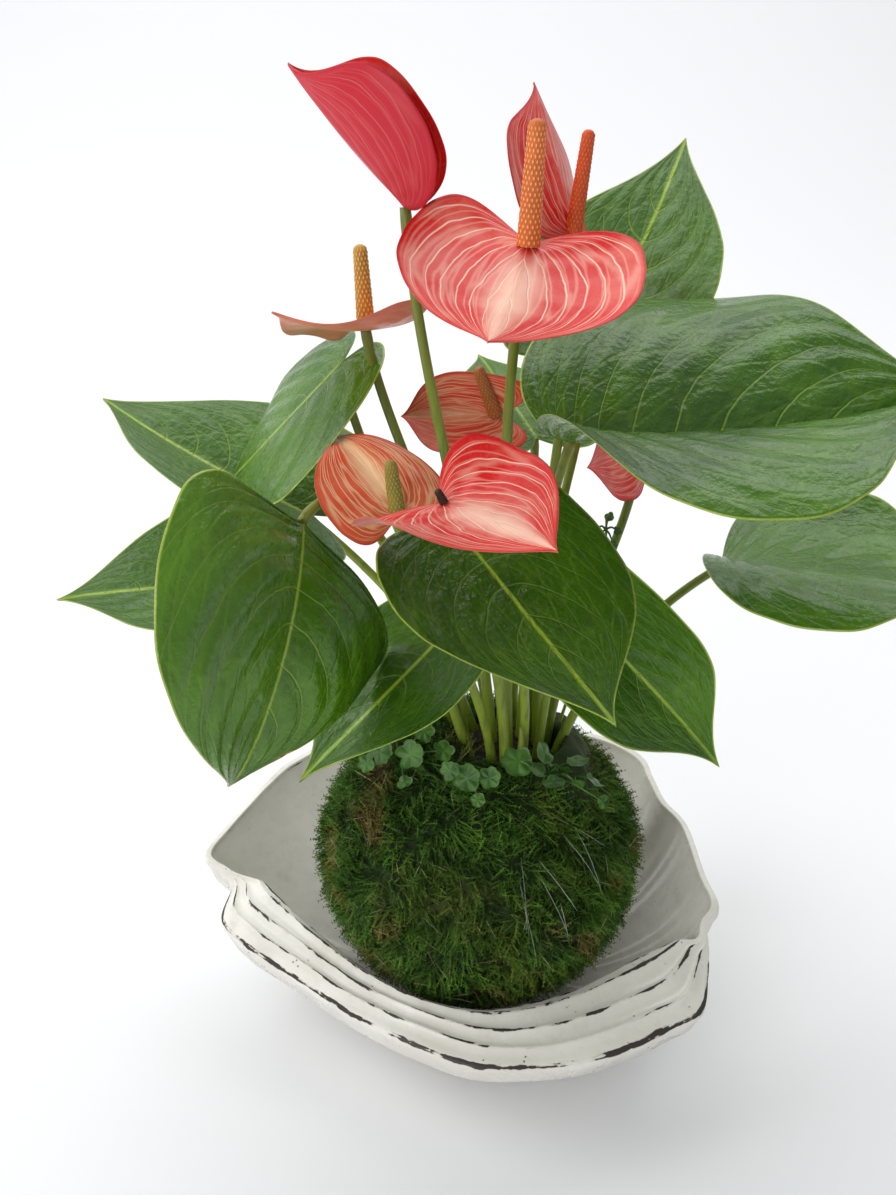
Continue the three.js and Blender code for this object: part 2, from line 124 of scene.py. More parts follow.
# small helpers for materials

def newMaterial(name):
    material = bpy.data.materials.new(name)
    material.use_nodes = True
    tree = material.node_tree
    tree.nodes.clear()
    output = tree.nodes.new("ShaderNodeOutputMaterial")
    shader = tree.nodes.new("ShaderNodeBsdfPrincipled")
    tree.links.new(shader.outputs["BSDF"], output.inputs["Surface"])
    return material, tree, shader


def put(tree, socket, value):
    if isinstance(value, bpy.types.NodeSocket):
        tree.links.new(value, socket)
    elif socket.type == "RGBA" and len(value) == 3:
        socket.default_value = (*value, 1)
    else:
        socket.default_value = value


def maths(tree, operation, a, b=0.0, c=0.0, clamp=False):
    n = tree.nodes.new("ShaderNodeMath")
    n.operation = operation
    n.use_clamp = clamp
    for socket, value in zip(n.inputs, (a, b, c)):
        put(tree, socket, value)
    return n.outputs[0]


def ramp(tree, value, low, high, to=(0.0, 1.0), smooth=True):
    n = tree.nodes.new("ShaderNodeMapRange")
    n.interpolation_type = "SMOOTHSTEP" if smooth else "LINEAR"
    for key, v in (("Value", value), ("From Min", low), ("From Max", high), ("To Min", to[0]),
                   ("To Max", to[1])):
        put(tree, n.inputs[key], v)
    return n.outputs["Result"]


def blendColours(tree, factor, a, b, mode="MIX"):
    n = tree.nodes.new("ShaderNodeMix")
    n.data_type = "RGBA"
    n.blend_type = mode
    n.clamp_factor = True
    put(tree, n.inputs["Factor"], factor)
    put(tree, n.inputs["A"], a)
    put(tree, n.inputs["B"], b)
    return n.outputs["Result"]


def noise(tree, vector, scale, detail=3.0, roughness=0.55, distortion=0.0, output="Fac"):
    n = tree.nodes.new("ShaderNodeTexNoise")
    put(tree, n.inputs["Vector"], vector)
    for key, v in (("Scale", scale), ("Detail", detail), ("Roughness", roughness),
                   ("Distortion", distortion)):
        put(tree, n.inputs[key], v)
    return n.outputs[output]


def cells(tree, vector, scale, feature="F1", randomness=1.0, smoothness=None):
    n = tree.nodes.new("ShaderNodeTexVoronoi")
    n.feature = feature
    put(tree, n.inputs["Vector"], vector)
    put(tree, n.inputs["Scale"], scale)
    put(tree, n.inputs["Randomness"], randomness)
    if smoothness is not None:
        put(tree, n.inputs["Smoothness"], smoothness)
    return n.outputs["Distance"]


def place(tree):
    return tree.nodes.new("ShaderNodeTexCoord").outputs["Object"]


def attribute(tree, name):
    n = tree.nodes.new("ShaderNodeAttribute")
    n.attribute_name = name
    return n.outputs["Fac"]


def bump(tree, height, strength, distance, normal=None):
    n = tree.nodes.new("ShaderNodeBump")
    put(tree, n.inputs["Height"], height)
    n.inputs["Strength"].default_value = strength
    n.inputs["Distance"].default_value = distance
    if normal is not None:
        put(tree, n.inputs["Normal"], normal)
    return n.outputs["Normal"]


def newGroup(name, inputs, outputs):
    group = bpy.data.node_groups.new(name, "ShaderNodeTree")
    for label, kind, value in inputs:
        socket = group.interface.new_socket(label, in_out="INPUT", socket_type=kind)
        if value is not None:
            socket.default_value = value
    for label, kind in outputs:
        group.interface.new_socket(label, in_out="OUTPUT", socket_type=kind)
    return group, group.nodes.new("NodeGroupInput").outputs, group.nodes.new("NodeGroupOutput").inputs


def useGroup(tree, group, **values):
    n = tree.nodes.new("ShaderNodeGroup")
    n.node_tree = group
    for key, value in values.items():
        put(tree, n.inputs[key], value)
    return n.outputs


# veins, shared by leaves and spathes

# The blade's UV: U runs from the joint round the margin to the tip, V from one margin (0)
# over the midrib (0.5)
# to the other (1). A vein is a line where U, moved on by Sweep towards the margin, reaches a whole step.
veinGroup, veinIn, veinOut = newGroup(
    "bladeVeins",
    [("UV", "NodeSocketVector", None), ("Count", "NodeSocketFloat", 9.0), ("Sweep", "NodeSocketFloat", 0.2),
     ("Along", "NodeSocketFloat", 1.0), ("Across", "NodeSocketFloat", 0.0),
     ("Width", "NodeSocketFloat", 0.08),
     ("Wander", "NodeSocketFloat", 0.02)],
    [("Side veins", "NodeSocketFloat"), ("Net", "NodeSocketFloat"), ("Out", "NodeSocketFloat")],
)
g = veinGroup
split = g.nodes.new("ShaderNodeSeparateXYZ")
g.links.new(veinIn["UV"], split.inputs[0])
outward = maths(g, "ABSOLUTE", maths(g, "MULTIPLY_ADD", split.outputs["Y"], 2.0, -1.0))
wander = maths(g, "SUBTRACT", noise(g, veinIn["UV"], 7.0, 2.0), 0.5)
bent = maths(g, "MULTIPLY", maths(g, "POWER", outward, 1.3), veinIn["Sweep"])
line = maths(g, "SUBTRACT", maths(g, "MULTIPLY", split.outputs["X"], veinIn["Along"]), bent)
line = maths(g, "MULTIPLY_ADD", outward, veinIn["Across"], line)
line = maths(g, "MULTIPLY_ADD", wander, veinIn["Wander"], line)
step = maths(g, "FRACT", maths(g, "MULTIPLY", line, veinIn["Count"]))
away = maths(g, "ABSOLUTE", maths(g, "SUBTRACT", step, 0.5))
g.links.new(ramp(g, away, veinIn["Width"], 0.0), veinOut["Side veins"])
both = g.nodes.new("ShaderNodeCombineXYZ")
g.links.new(maths(g, "MULTIPLY", line, veinIn["Count"]), both.inputs[0])
g.links.new(maths(g, "MULTIPLY", split.outputs["Y"], 14.0), both.inputs[1])
g.links.new(ramp(g, cells(g, both.outputs[0], 1.0, "DISTANCE_TO_EDGE"), 0.12, 0.0), veinOut["Net"])
g.links.new(outward, veinOut["Out"])


# leaf and spathe blades

def halfOutline(blade, s):
    # two cubic curves: from the notch round the lobe to the widest point, then on to the tip
    length, width, widest = blade["length"], blade["width"], blade["widest"]
    start = np.array([-0.02 * length, 0])
    side = np.array([widest * length, width / 2])
    back = np.array([-math.cos(blade["notch"]), math.sin(blade["notch"])]) * blade["lobe"] * length
    rounded = bezier([start, start + back, side - [0.36 * length, 0], side], np.clip(s * 2, 0, 1))
    taper = bezier([side, side + [0.36 * length, 0], [0.68 * length, 0.1 * width], [length, 0]],
                   np.clip(s * 2 - 1, 0, 1))
    return np.where((s < 0.5)[:, None], rounded, taper)


def onBlade(blade, a, b, offset):
    # a along the midrib and b across it, folded at the midrib, curled to the margin and bent along the
    # length
    length, width = blade["length"], blade["width"]
    half = np.where(b >= 0, 0, 1)
    fold = np.array(blade["fold"], float)[half]
    curl = np.array(blade["curl"], float)[half]
    curl = np.where(np.abs(curl) < 1e-3, 1e-3, curl)
    lift = np.array(blade["lift"], float)[half]
    w = np.abs(b) / (width / 2)
    side = np.where(b >= 0, 1, -1)
    y = side * (width / 2) * (np.sin(fold + curl * w) - np.sin(fold)) / curl
    y = y + blade["sweep"] * a * (1 - a / length)
    rise = lift * length * np.maximum(0, 0.12 - a / length) ** 2 * w
    z = (width / 2) * (np.cos(fold) - np.cos(fold + curl * w)) / curl + rise
    slope = fold + curl * w
    bend = blade["bend"] or 1e-3
    rate = bend / length
    here = bend / 2 - rate * a
    onRib = np.abs(b) < 1e-6
    f0, f1 = blade["fold"]
    normalZ = np.where(onRib, (math.cos(f0) + math.cos(f1)) / 2, np.cos(slope))
    normalY = np.where(onRib, (math.sin(f1) - math.sin(f0)) / 2, -side * np.sin(slope))
    across = z + offset * normalZ
    return np.stack([
        (math.sin(bend / 2) - np.sin(here)) / rate - across * np.sin(here),
        y + offset * normalY,
        (np.cos(here) - math.cos(bend / 2)) / rate + across * np.cos(here),
    ], -1)


def turned(blade):
    yaw, pitch, roll = np.radians(blade["turn"])
    cz, sz, cy, sy, cx, sx = (math.cos(yaw), math.sin(yaw), math.cos(-pitch), math.sin(-pitch),
                              math.cos(roll), math.sin(roll))
    rz = np.array([[cz, -sz, 0], [sz, cz, 0], [0, 0, 1]])
    ry = np.array([[cy, 0, sy], [0, 1, 0], [-sy, 0, cy]])
    rx = np.array([[1, 0, 0], [0, cx, -sx], [0, sx, cx]])
    return rz @ ry @ rx


def bladePiece(blade, material, node, look):
    # rows s from notch to tip, columns from one margin over the midrib to the other; an upper and a lower
    # skin
    rows, half = look.get("rows", 110), look.get("half", 30)
    s = np.linspace(0, 1, rows)
    t = np.linspace(-1, 1, 2 * half + 1)
    t = np.sign(t) * np.abs(t) ** 0.85
    edge = halfOutline(blade, s)
    rib = blade["length"] * s ** look.get("ribPower", 1.5)
    seed = look.get("seed", 1)
    rng = np.random.default_rng(seed)
    ragged = 1 + look.get("ragged", 0.004) * np.sin(s * 61 + rng.uniform(0, 6)) * np.sin(np.pi * s)
    S, T = np.meshgrid(s, t, indexing="ij")
    wide = np.abs(T)
    edgeX, edgeY = edge[:, 0][:, None], (edge[:, 1] * ragged)[:, None]
    reach = np.ones_like(S)
    for at, side, deep, broad in look.get("nicks", []):
        bite = deep * np.exp(-((s - at) / broad) ** 2)[:, None]
        reach = reach - np.where(T * side > 0, bite * wide, 0)
    a = rib[:, None] * (1 - wide * reach) + edgeX * wide * reach
    b = edgeY * T * reach
    across = np.abs(b)
    toEdge = np.hypot(edgeX - a, edgeY - np.abs(b))
    # relief: blisters between the side veins, a raised midrib, and a slow wave along the margin
    count, sweep = look.get("count", 9), look.get("sweep", 0.2)
    line = (S - sweep * wide ** 1.3) * count
    between = np.sin(np.pi * (line + 0.5)) ** 2
    blister = look.get("blister", 0.5) * between * np.clip(wide * 5, 0, 1) * np.clip((1 - wide) * 4, 0, 1)
    blister = blister * np.clip(6 * S, 0, 1) * np.clip(6 * (1 - S), 0, 1)
    ridge = look.get("ridge", 0.35) * np.exp(-(across / 1.1) ** 2) * np.clip(8 * (1 - S), 0, 1)
    phase = rng.uniform(0, 6.28, 2)
    wave = (look.get("wave", 1.0) * wide ** 3
            * np.sin(S * look.get("waves", 17) + np.where(T > 0, phase[0], phase[1])))
    wave = wave * np.sin(np.pi * np.clip(S, 0, 1)) ** 0.5
    thick = look.get("thick", 0.8) * (1 - 0.75 * wide ** 3)
    turn = turned(blade)
    joint = np.array(blade["at"], float)
    upper = onBlade(blade, a, b, blister + ridge + wave) @ turn.T + joint
    lower = onBlade(blade, a, b, blister * 0.8 + wave - thick - 0.5 * ridge) @ turn.T + joint
    n = S.size
    columns = S.shape[1]
    faces = [gridFaces(rows, columns)[:, ::-1], gridFaces(rows, columns, start=n)]
    i = np.arange(rows - 1) * columns
    for column, flip in ((0, False), (columns - 1, True)):
        strip = np.stack([i + column, i + column + columns, i + column + columns + n, i + column + n], -1)
        faces.append(strip if flip else strip[:, ::-1])
    uv = np.stack([S, (T + 1) / 2], -1).reshape(-1, 2)
    nick = np.zeros_like(S)
    for at, side, deep, broad in look.get("nicks", []):
        if deep > 0.05:
            nick = np.maximum(nick, np.exp(-((S - at) / (1.5 * broad)) ** 2
                                           - ((T * side - 0.97) / 0.17) ** 2))
    for at, side, size in look.get("scars", []):
        nick = np.maximum(nick, np.exp(-((S - at) / size) ** 2 - ((T - side) / (1.6 * size)) ** 2))
    values = {
        "across": np.concatenate([across.ravel(), across.ravel()]),
        "toEdge": np.concatenate([toEdge.ravel(), toEdge.ravel()]),
        "under": np.concatenate([np.zeros(n), np.ones(n)]),
        "nick": np.concatenate([nick.ravel(), nick.ravel()]),
    }
    points = np.concatenate([upper.reshape(-1, 3), lower.reshape(-1, 3)])
    piece = makePiece(node + "_fine", points, np.concatenate(faces), material,
                      uv=np.concatenate([uv, uv]), values=values, replaces=(node,))
    return closeSeams(piece)


# stems

crown = {"x": 12.0, "y": 2.0, "z": 117.3, "rootDepth": 12.0}


def frames(path):
    # a side and a second side at each point, carried along without twisting
    ahead = np.gradient(path, axis=0)
    ahead /= np.linalg.norm(ahead, axis=1)[:, None]
    guide = np.array([0.0, 1.0, 0.0]) if abs(ahead[0][1]) < 0.9 else np.array([1.0, 0.0, 0.0])
    side = np.zeros_like(path)
    for i in range(len(path)):
        guide = guide - ahead[i] * (guide @ ahead[i])
        guide = guide / np.linalg.norm(guide)
        side[i] = guide
    return ahead, side, np.cross(ahead, side)


def tubePoints(path, radius, sides):
    _, u, v = frames(path)
    angle = np.linspace(0, 2 * np.pi, sides, endpoint=False)
    ring = np.cos(angle)[None, :, None] * u[:, None, :] + np.sin(angle)[None, :, None] * v[:, None, :]
    return path[:, None, :] + ring * np.asarray(radius)[:, None, None]


def tubePiece(name, path, radius, sides, material, replaces=()):
    # a profile carried along a path; the ends close to points
    radius = np.asarray(radius, float).copy()
    path = np.vstack([path[:1], path, path[-1:]])
    radius = np.concatenate([[1e-4], radius, [1e-4]])
    along = np.linspace(0, 1, len(path))
    _, u, v = frames(path[1:-1])
    u, v = np.vstack([u[:1], u, u[-1:]]), np.vstack([v[:1], v, v[-1:]])
    angle = np.linspace(0, 2 * np.pi, sides, endpoint=False)
    ring = np.cos(angle)[None, :, None] * u[:, None, :] + np.sin(angle)[None, :, None] * v[:, None, :]
    points = path[:, None, :] + ring * radius[:, None, None]
    uv = np.stack(np.meshgrid(along, angle / 6.28, indexing="ij"), -1).reshape(-1, 2)
    piece = makePiece(name, points, gridFaces(len(path), sides, wrap=True), material, uv=uv,
                      values={"along": np.repeat(along, sides)}, replaces=replaces)
    return closeSeams(piece, 1e-6)


def stemPath(blade, count=60):
    joint = np.array(blade["at"], float)
    foot = np.array([*blade["foot"], crown["z"] - crown["rootDepth"]])
    rise = 0.4 * np.linalg.norm(joint - foot)
    normal = turned(blade) @ np.array([0, 0, 1.0])
    first = foot + [*blade["lean"], rise]
    last = joint + blade["arrive"]
    return bezier([foot, first, last, joint - normal * 0.6], np.linspace(0, 1, count))


def stemPiece(blade, name, radius, material):
    path = stemPath(blade)
    t = np.linspace(0, 1, len(path))
    swell = 1 + 0.18 * np.exp(-((t - 0.97) / 0.03) ** 2) + 0.25 * np.exp(-(t / 0.12) ** 2)
    thin = radius * (1 - 0.16 * t) * swell
    return tubePiece(name + "_fine", path, thin, 12, material, replaces=(name,))


# leaf material

leafLook = {
    "deep": (0.018, 0.07, 0.003), "bright": (0.085, 0.22, 0.005), "vein": (0.2, 0.36, 0.02),
    "rib": (0.3, 0.45, 0.035), "margin": (0.36, 0.48, 0.06), "under": (0.13, 0.26, 0.04),
    "rough": 0.27, "coat": 0.3,
}


def leafMaterial(name, count, sweep, tone=0.5, pale=0.0, veinShow=0.7, gloss=1.0, ribWidth=1.0):
    material, tree, shader = newMaterial(name)
    where = place(tree)
    uvNode = tree.nodes.new("ShaderNodeUVMap")
    uvNode.uv_map = "UVMap"
    veins = useGroup(tree, veinGroup, UV=uvNode.outputs[0], Count=count, Sweep=sweep, Along=1.0, Across=0.0,
                     Width=0.045, Wander=0.03)
    across, toEdge = attribute(tree, "across"), attribute(tree, "toEdge")
    cloud = noise(tree, where, 28.0, 4.0)
    shade = maths(tree, "MULTIPLY_ADD", ramp(tree, cloud, 0.3, 0.72), 0.6, tone - 0.3, clamp=True)
    colour = blendColours(tree, shade, leafLook["deep"], leafLook["bright"])
    # pale mixes a painted sheen into the colour: a greyed light green that stands in for the bright room
    # reflected in the glossy blade
    if pale > 0:
        colour = blendColours(tree, pale, colour, (0.10, 0.2, 0.05))
    side = maths(tree, "MULTIPLY", veins["Side veins"], ramp(tree, across, 34.0, 3.0, (0.25, 1.0)))
    colour = blendColours(tree, maths(tree, "MULTIPLY", side, veinShow), colour, leafLook["vein"])
    colour = blendColours(tree, maths(tree, "MULTIPLY", veins["Net"], 0.12), colour, leafLook["vein"])
    rib = ramp(tree, across, ribWidth, 0.25 * ribWidth)
    colour = blendColours(tree, rib, colour, leafLook["rib"])
    margin = ramp(tree, toEdge, 0.9, 0.25)
    colour = blendColours(tree, margin, colour, leafLook["margin"])
    colour = blendColours(tree, attribute(tree, "under"), colour, leafLook["under"])
    nick = attribute(tree, "nick")
    patchy = maths(tree, "MULTIPLY", maths(tree, "MULTIPLY_ADD", noise(tree, where, 240.0, 4.0), 1.8, 0.1),
                   nick)
    colour = blendColours(tree, ramp(tree, patchy, 0.2, 0.5), colour, (0.5, 0.38, 0.03))
    colour = blendColours(tree, ramp(tree, patchy, 0.72, 0.95), colour, (0.12, 0.035, 0.01))
    put(tree, shader.inputs["Base Color"], colour)
    rough = ramp(tree, noise(tree, where, 90.0, 3.0), 0.3, 0.75,
                 (leafLook["rough"] / gloss - 0.06, leafLook["rough"] / gloss + 0.12))
    put(tree, shader.inputs["Roughness"], rough)
    shader.inputs["Specular IOR Level"].default_value = 0.3
    shader.inputs["Coat Weight"].default_value = leafLook["coat"] * gloss
    shader.inputs["Coat Roughness"].default_value = 0.12
    shader.inputs["Subsurface Weight"].default_value = 0.08
    shader.inputs["Subsurface Radius"].default_value = (0.002, 0.004, 0.0006)
    # height: pressed-in side veins, fine net, and small bubbles that break up the shine
    bubbles = cells(tree, where, 380.0, "SMOOTH_F1", 1.0, 0.6)
    height = maths(tree, "MULTIPLY_ADD", bubbles, -0.7, maths(tree, "MULTIPLY", side, -1.0))
    height = maths(tree, "MULTIPLY_ADD", veins["Net"], -0.4, height)
    height = maths(tree, "MULTIPLY_ADD", noise(tree, where, 170.0, 3.0, 0.6), 1.6, height)
    height = maths(tree, "MULTIPLY_ADD", noise(tree, where, 650.0, 2.0, 0.6), 0.9, height)
    put(tree, shader.inputs["Normal"], bump(tree, height, 0.6, 0.0009))
    return material


# where a leaf's shade sets pale, a painted sheen is mixed into its colour and its real gloss is turned down
leaves = [
    {"name": "leaf_right_large", "at": [27, -35, 254], "turn": [6, 5, 21], "length": 134, "width": 146,
     "widest": 0.37, "fold": [0.64, 1], "curl": [-1.2, -1.2], "bend": -0.27, "lobe": 0.25, "notch": 0.3,
     "lift": [-0.5, 2.5], "sweep": -0.11, "foot": [22, 5], "lean": [0, 5], "arrive": [-9, 32, -50],
     "look": {"count": 9, "sweep": 0.46, "blister": 0.9, "wave": 1.4, "rows": 150, "half": 40, "seed": 3},
     "shade": {"tone": 0.45, "veinShow": 0.8, "ribWidth": 1.7}},
    {"name": "leaf_back_right", "at": [43, 50, 262], "turn": [55, 45, 13], "length": 85, "width": 78,
     "widest": 0.16, "fold": [-0.1, 0.27], "curl": [0.23, 0.2], "bend": 0.69, "lobe": 0.42, "notch": 0.7,
     "lift": [0.5, 0.5], "sweep": -0.17, "foot": [21, 15], "lean": [-6, -8], "arrive": [-8, -18, -50],
     "look": {"count": 8, "sweep": 0.46, "blister": 0.5, "wave": 0.8, "seed": 4},
     "shade": {"tone": 0.5, "pale": 0.3, "veinShow": 0.9, "gloss": 0.75}},
    {"name": "leaf_far_right", "at": [89, 10, 188], "turn": [-17, 0, 7], "length": 96, "width": 106,
     "widest": 0.4, "fold": [-0.27, 0.82], "curl": [0.73, -1.2], "bend": 0.42, "lobe": 0.39, "notch": 1.4,
     "lift": [0.1, 3.2], "sweep": -0.31, "foot": [28, 3], "lean": [10, 0], "arrive": [-22, 0, -14],
     "look": {"count": 8, "sweep": 0.46, "blister": 0.4, "wave": 0.8, "seed": 5},
     "shade": {"tone": 0.6, "veinShow": 0.6, "gloss": 0.9}},
    {"name": "leaf_front_centre", "at": [-11, -60, 237], "turn": [-58, -18, 36], "length": 92, "width": 81,
     "widest": 0.26, "fold": [-0.56, 0.57], "curl": [0.14, 0.44], "bend": -0.88, "lobe": 0.26, "notch": 1.2,
     "lift": [0.2, 0.1], "sweep": 0, "foot": [14, -13], "lean": [6, -4], "arrive": [20, 10, -35],
     "look": {"count": 8, "sweep": 0.46, "blister": 0.25, "wave": 0.5, "seed": 6},
     "shade": {"tone": 0.4, "veinShow": 0.45}},
    {"name": "leaf_low_right", "at": [29, -6, 181], "turn": [-13, -46, 62], "length": 88, "width": 66,
     "widest": 0.27, "fold": [0.51, 0.44], "curl": [0.54, 0.39], "bend": 0.59, "lobe": 0.3, "notch": 0.5,
     "lift": [0.5, 0.5], "sweep": 0.06, "foot": [21, -4], "lean": [2, 0], "arrive": [-2, 3, -25],
     "look": {"count": 8, "sweep": 0.46, "blister": 0.3, "wave": 0.8, "seed": 7},
     "shade": {"tone": 0.55, "veinShow": 0.5, "gloss": 0.9}},
    {"name": "leaf_front_left", "at": [-57, -56, 235], "turn": [-128, -63, -54], "length": 100,
     "width": 113,
     "widest": 0.29, "fold": [-0.2, 0.94], "curl": [-0.96, -0.8], "bend": 1.8, "lobe": 0.28, "notch": 2.55,
     "lift": [0.25, 0.6], "sweep": 0, "foot": [-1, -9], "lean": [-18, 9], "arrive": [18, 18, 25],
     "look": {"count": 9, "sweep": 0.46, "blister": 1.1, "wave": 1.2, "rows": 160, "half": 40, "seed": 8,
              "nicks": [(0.91, 1, 0.1, 0.035), (0.945, 1, 0.06, 0.012), (0.87, 1, 0.07, 0.01)]},
     "shade": {"tone": 0.75, "veinShow": 1.0, "gloss": 1.2}},
    {"name": "leaf_low_centre", "at": [-10, -40, 190], "turn": [-137, -25, -3], "length": 74, "width": 67,
     "widest": 0.33, "fold": [0.13, 0.08], "curl": [0.44, -0.17], "bend": 0.12, "lobe": 0.33, "notch": 0.4,
     "lift": [0.5, -0.2], "sweep": 0.07, "foot": [5, -13], "lean": [-1, -4], "arrive": [3, 6, -25],
     "look": {"count": 7, "sweep": 0.46, "blister": 0.3, "wave": 0.6, "seed": 9},
     "shade": {"tone": 0.45, "veinShow": 0.5}},
    {"name": "leaf_folded_left", "at": [-50, 16, 260], "turn": [166, -48, -57], "length": 68, "width": 74,
     "widest": 0.35, "fold": [0.7, -0.6], "curl": [-0.33, -0.18], "bend": 1.2, "lobe": 0.5, "notch": 0.3,
     "lift": [0.24, -1.2], "sweep": 0.37, "foot": [-4, 1], "lean": [-6, 2], "arrive": [10, 6, -50],
     "look": {"count": 7, "sweep": 0.46, "blister": 0.5, "wave": 0.6, "seed": 10},
     "shade": {"tone": 0.55, "veinShow": 0.7}},
    {"name": "leaf_back_left", "at": [-65, 27, 200], "turn": [151, 17, -13], "length": 97, "width": 86,
     "widest": 0.12, "fold": [0.46, 0.41], "curl": [0.2, -0.47], "bend": 0.45, "lobe": 0.43, "notch": 0.4,
     "lift": [-0.58, 0.3], "sweep": 0.3, "foot": [0, 9], "lean": [-8, 4], "arrive": [20, -2, -18],
     "look": {"count": 9, "sweep": 0.42, "blister": 0.3, "wave": 0.7, "seed": 11},
     "shade": {"tone": 0.5, "pale": 0.35, "veinShow": 0.7, "gloss": 0.75}},
    {"name": "leaf_low_left", "at": [-88, 8, 181], "turn": [174, -9, -32], "length": 71, "width": 62,
     "widest": 0.11, "fold": [0.34, 0.2], "curl": [0.29, 0.25], "bend": 0.32, "lobe": 0.42, "notch": 0.7,
     "lift": [0.5, 0.5], "sweep": 0.06, "foot": [-5, 6], "lean": [-7, 2], "arrive": [24, 0, -10],
     "look": {"count": 7, "sweep": 0.46, "blister": 0.4, "wave": 0.7, "seed": 12},
     "shade": {"tone": 0.45, "pale": 0.3, "veinShow": 0.7, "gloss": 0.8}},
    {"name": "leaf_back_pale", "at": [21, 58, 218], "turn": [112, 15, 3], "length": 58, "width": 52,
     "widest": 0.17, "fold": [0.26, 0.13], "curl": [0.24, 0.27], "bend": 0.42, "lobe": 0.42, "notch": 0.7,
     "lift": [0.5, 0.5], "sweep": 0.15, "foot": [13, 19], "lean": [0, 6], "arrive": [2, -6, -35],
     "look": {"count": 6, "sweep": 0.46, "blister": 0.2, "wave": 0.4, "seed": 13},
     "shade": {"tone": 0.7, "pale": 0.5, "veinShow": 0.6, "gloss": 0.6}},
]

# stem skin: olive green, redder and browner near the top, with fine lengthwise streaks
stemLook = {"low": (0.24, 0.32, 0.03), "high": (0.2, 0.22, 0.02), "dark": (0.07, 0.09, 0.012)}


def stemMaterial(name, high):
    material, tree, shader = newMaterial(name)
    where = place(tree)
    along = attribute(tree, "along")
    colour = blendColours(tree, ramp(tree, along, 0.45, 1.0), stemLook["low"], high)
    streaks = tree.nodes.new("ShaderNodeMapping")
    streaks.inputs["Scale"].default_value = (500, 500, 25)
    tree.links.new(where, streaks.inputs["Vector"])
    colour = blendColours(tree, ramp(tree, noise(tree, streaks.outputs[0], 1.0, 3.0), 0.45, 0.8,
                                     (0.0, 0.65)),
                          colour, stemLook["dark"])
    put(tree, shader.inputs["Base Color"], colour)
    shader.inputs["Roughness"].default_value = 0.42
    shader.inputs["Subsurface Weight"].default_value = 0.1
    shader.inputs["Subsurface Radius"].default_value = (0.003, 0.003, 0.0006)
    put(tree, shader.inputs["Normal"], bump(tree, noise(tree, streaks.outputs[0], 1.0, 3.0), 0.3, 0.0004))
    return material


petioleSkin = stemMaterial("petiole skin", stemLook["high"])
stalkSkin = stemMaterial("stalk skin", (0.14, 0.16, 0.015))

for leaf in leaves:
    look = leaf["look"]
    material = leafMaterial(leaf["name"] + " skin", look["count"], look["sweep"], **leaf["shade"])
    bladePiece(leaf, material, leaf["name"] + "_blade", look)
    stemPiece(leaf, leaf["name"] + "_petiole", 1.8, petioleSkin)
print("leaves made")


# spathes and spadices

def spatheMaterial(name, red, cream, amount, centre, netShow=0.5, count=7.0, outside=None, drift=0.4,
                   backVeins=0.35):
    # red ground, cream veins that leave the joint and bend out to the margin, a cream fan along the midrib
    material, tree, shader = newMaterial(name)
    where = place(tree)
    uvNode = tree.nodes.new("ShaderNodeUVMap")
    uvNode.uv_map = "UVMap"
    veins = useGroup(tree, veinGroup, UV=uvNode.outputs[0], Count=count, Sweep=0.0, Along=-drift,
                     Across=1.0,
                     Width=0.085, Wander=0.07)
    split = tree.nodes.new("ShaderNodeSeparateXYZ")
    tree.links.new(uvNode.outputs[0], split.inputs[0])
    out = veins["Out"]
    across, toEdge = attribute(tree, "across"), attribute(tree, "toEdge")
    cloud = noise(tree, where, 60.0, 4.0)
    grain = noise(tree, where, 900.0, 2.0)
    ground = blendColours(tree, ramp(tree, cloud, 0.4, 0.75, (0.0, 0.22)), red,
                          tuple(0.7 * r + 0.3 * c for r, c in zip(red, cream)))
    ground = blendColours(tree, ramp(tree, grain, 0.45, 0.8, (0.0, 0.14)), ground,
                          tuple(0.6 * r + 0.4 * c for r, c in zip(red, cream)))
    fan = maths(tree, "MULTIPLY", ramp(tree, out, 0.34, 0.0), ramp(tree, split.outputs["X"], 0.05, 0.4))
    fan = maths(tree, "MULTIPLY", fan, centre)
    fan = maths(tree, "MULTIPLY_ADD", maths(tree, "SUBTRACT", cloud, 0.5), 0.6, fan, clamp=True)
    main = maths(tree, "MULTIPLY", veins["Side veins"], ramp(tree, toEdge, 0.8, 4.0, (0.15, 1.0)))
    net = maths(tree, "MULTIPLY", veins["Net"], netShow)
    vein = maths(tree, "MAXIMUM", maths(tree, "MULTIPLY", main, amount), net)
    vein = maths(tree, "MULTIPLY", vein, ramp(tree, toEdge, 0.6, 2.5))
    colour = blendColours(tree, fan, ground, cream)
    colour = blendColours(tree, vein, colour, cream)
    rim = ramp(tree, toEdge, 1.2, 0.2, (0.0, 0.8))
    colour = blendColours(tree, rim, colour, tuple(0.75 * v for v in red))
    colour = blendColours(tree, ramp(tree, attribute(tree, "nick"), 0.55, 0.8), colour, (0.08, 0.01, 0.005))
    back = outside or tuple(0.7 * r + 0.3 * c for r, c in zip(red, cream))
    faint = blendColours(tree, maths(tree, "MULTIPLY", vein, backVeins), back, cream)
    colour = blendColours(tree, attribute(tree, "under"), colour, faint)
    put(tree, shader.inputs["Base Color"], colour)
    put(tree, shader.inputs["Roughness"], ramp(tree, cloud, 0.3, 0.7, (0.28, 0.4)))
    shader.inputs["Specular IOR Level"].default_value = 0.22
    shader.inputs["Coat Weight"].default_value = 0.06
    shader.inputs["Coat Roughness"].default_value = 0.2
    shader.inputs["Subsurface Weight"].default_value = 0.05
    shader.inputs["Subsurface Radius"].default_value = (0.004, 0.0015, 0.001)
    height = maths(tree, "MULTIPLY_ADD", vein, -0.8, maths(tree, "MULTIPLY", grain, 0.25))
    put(tree, shader.inputs["Normal"], bump(tree, height, 0.4, 0.0005))
    return material


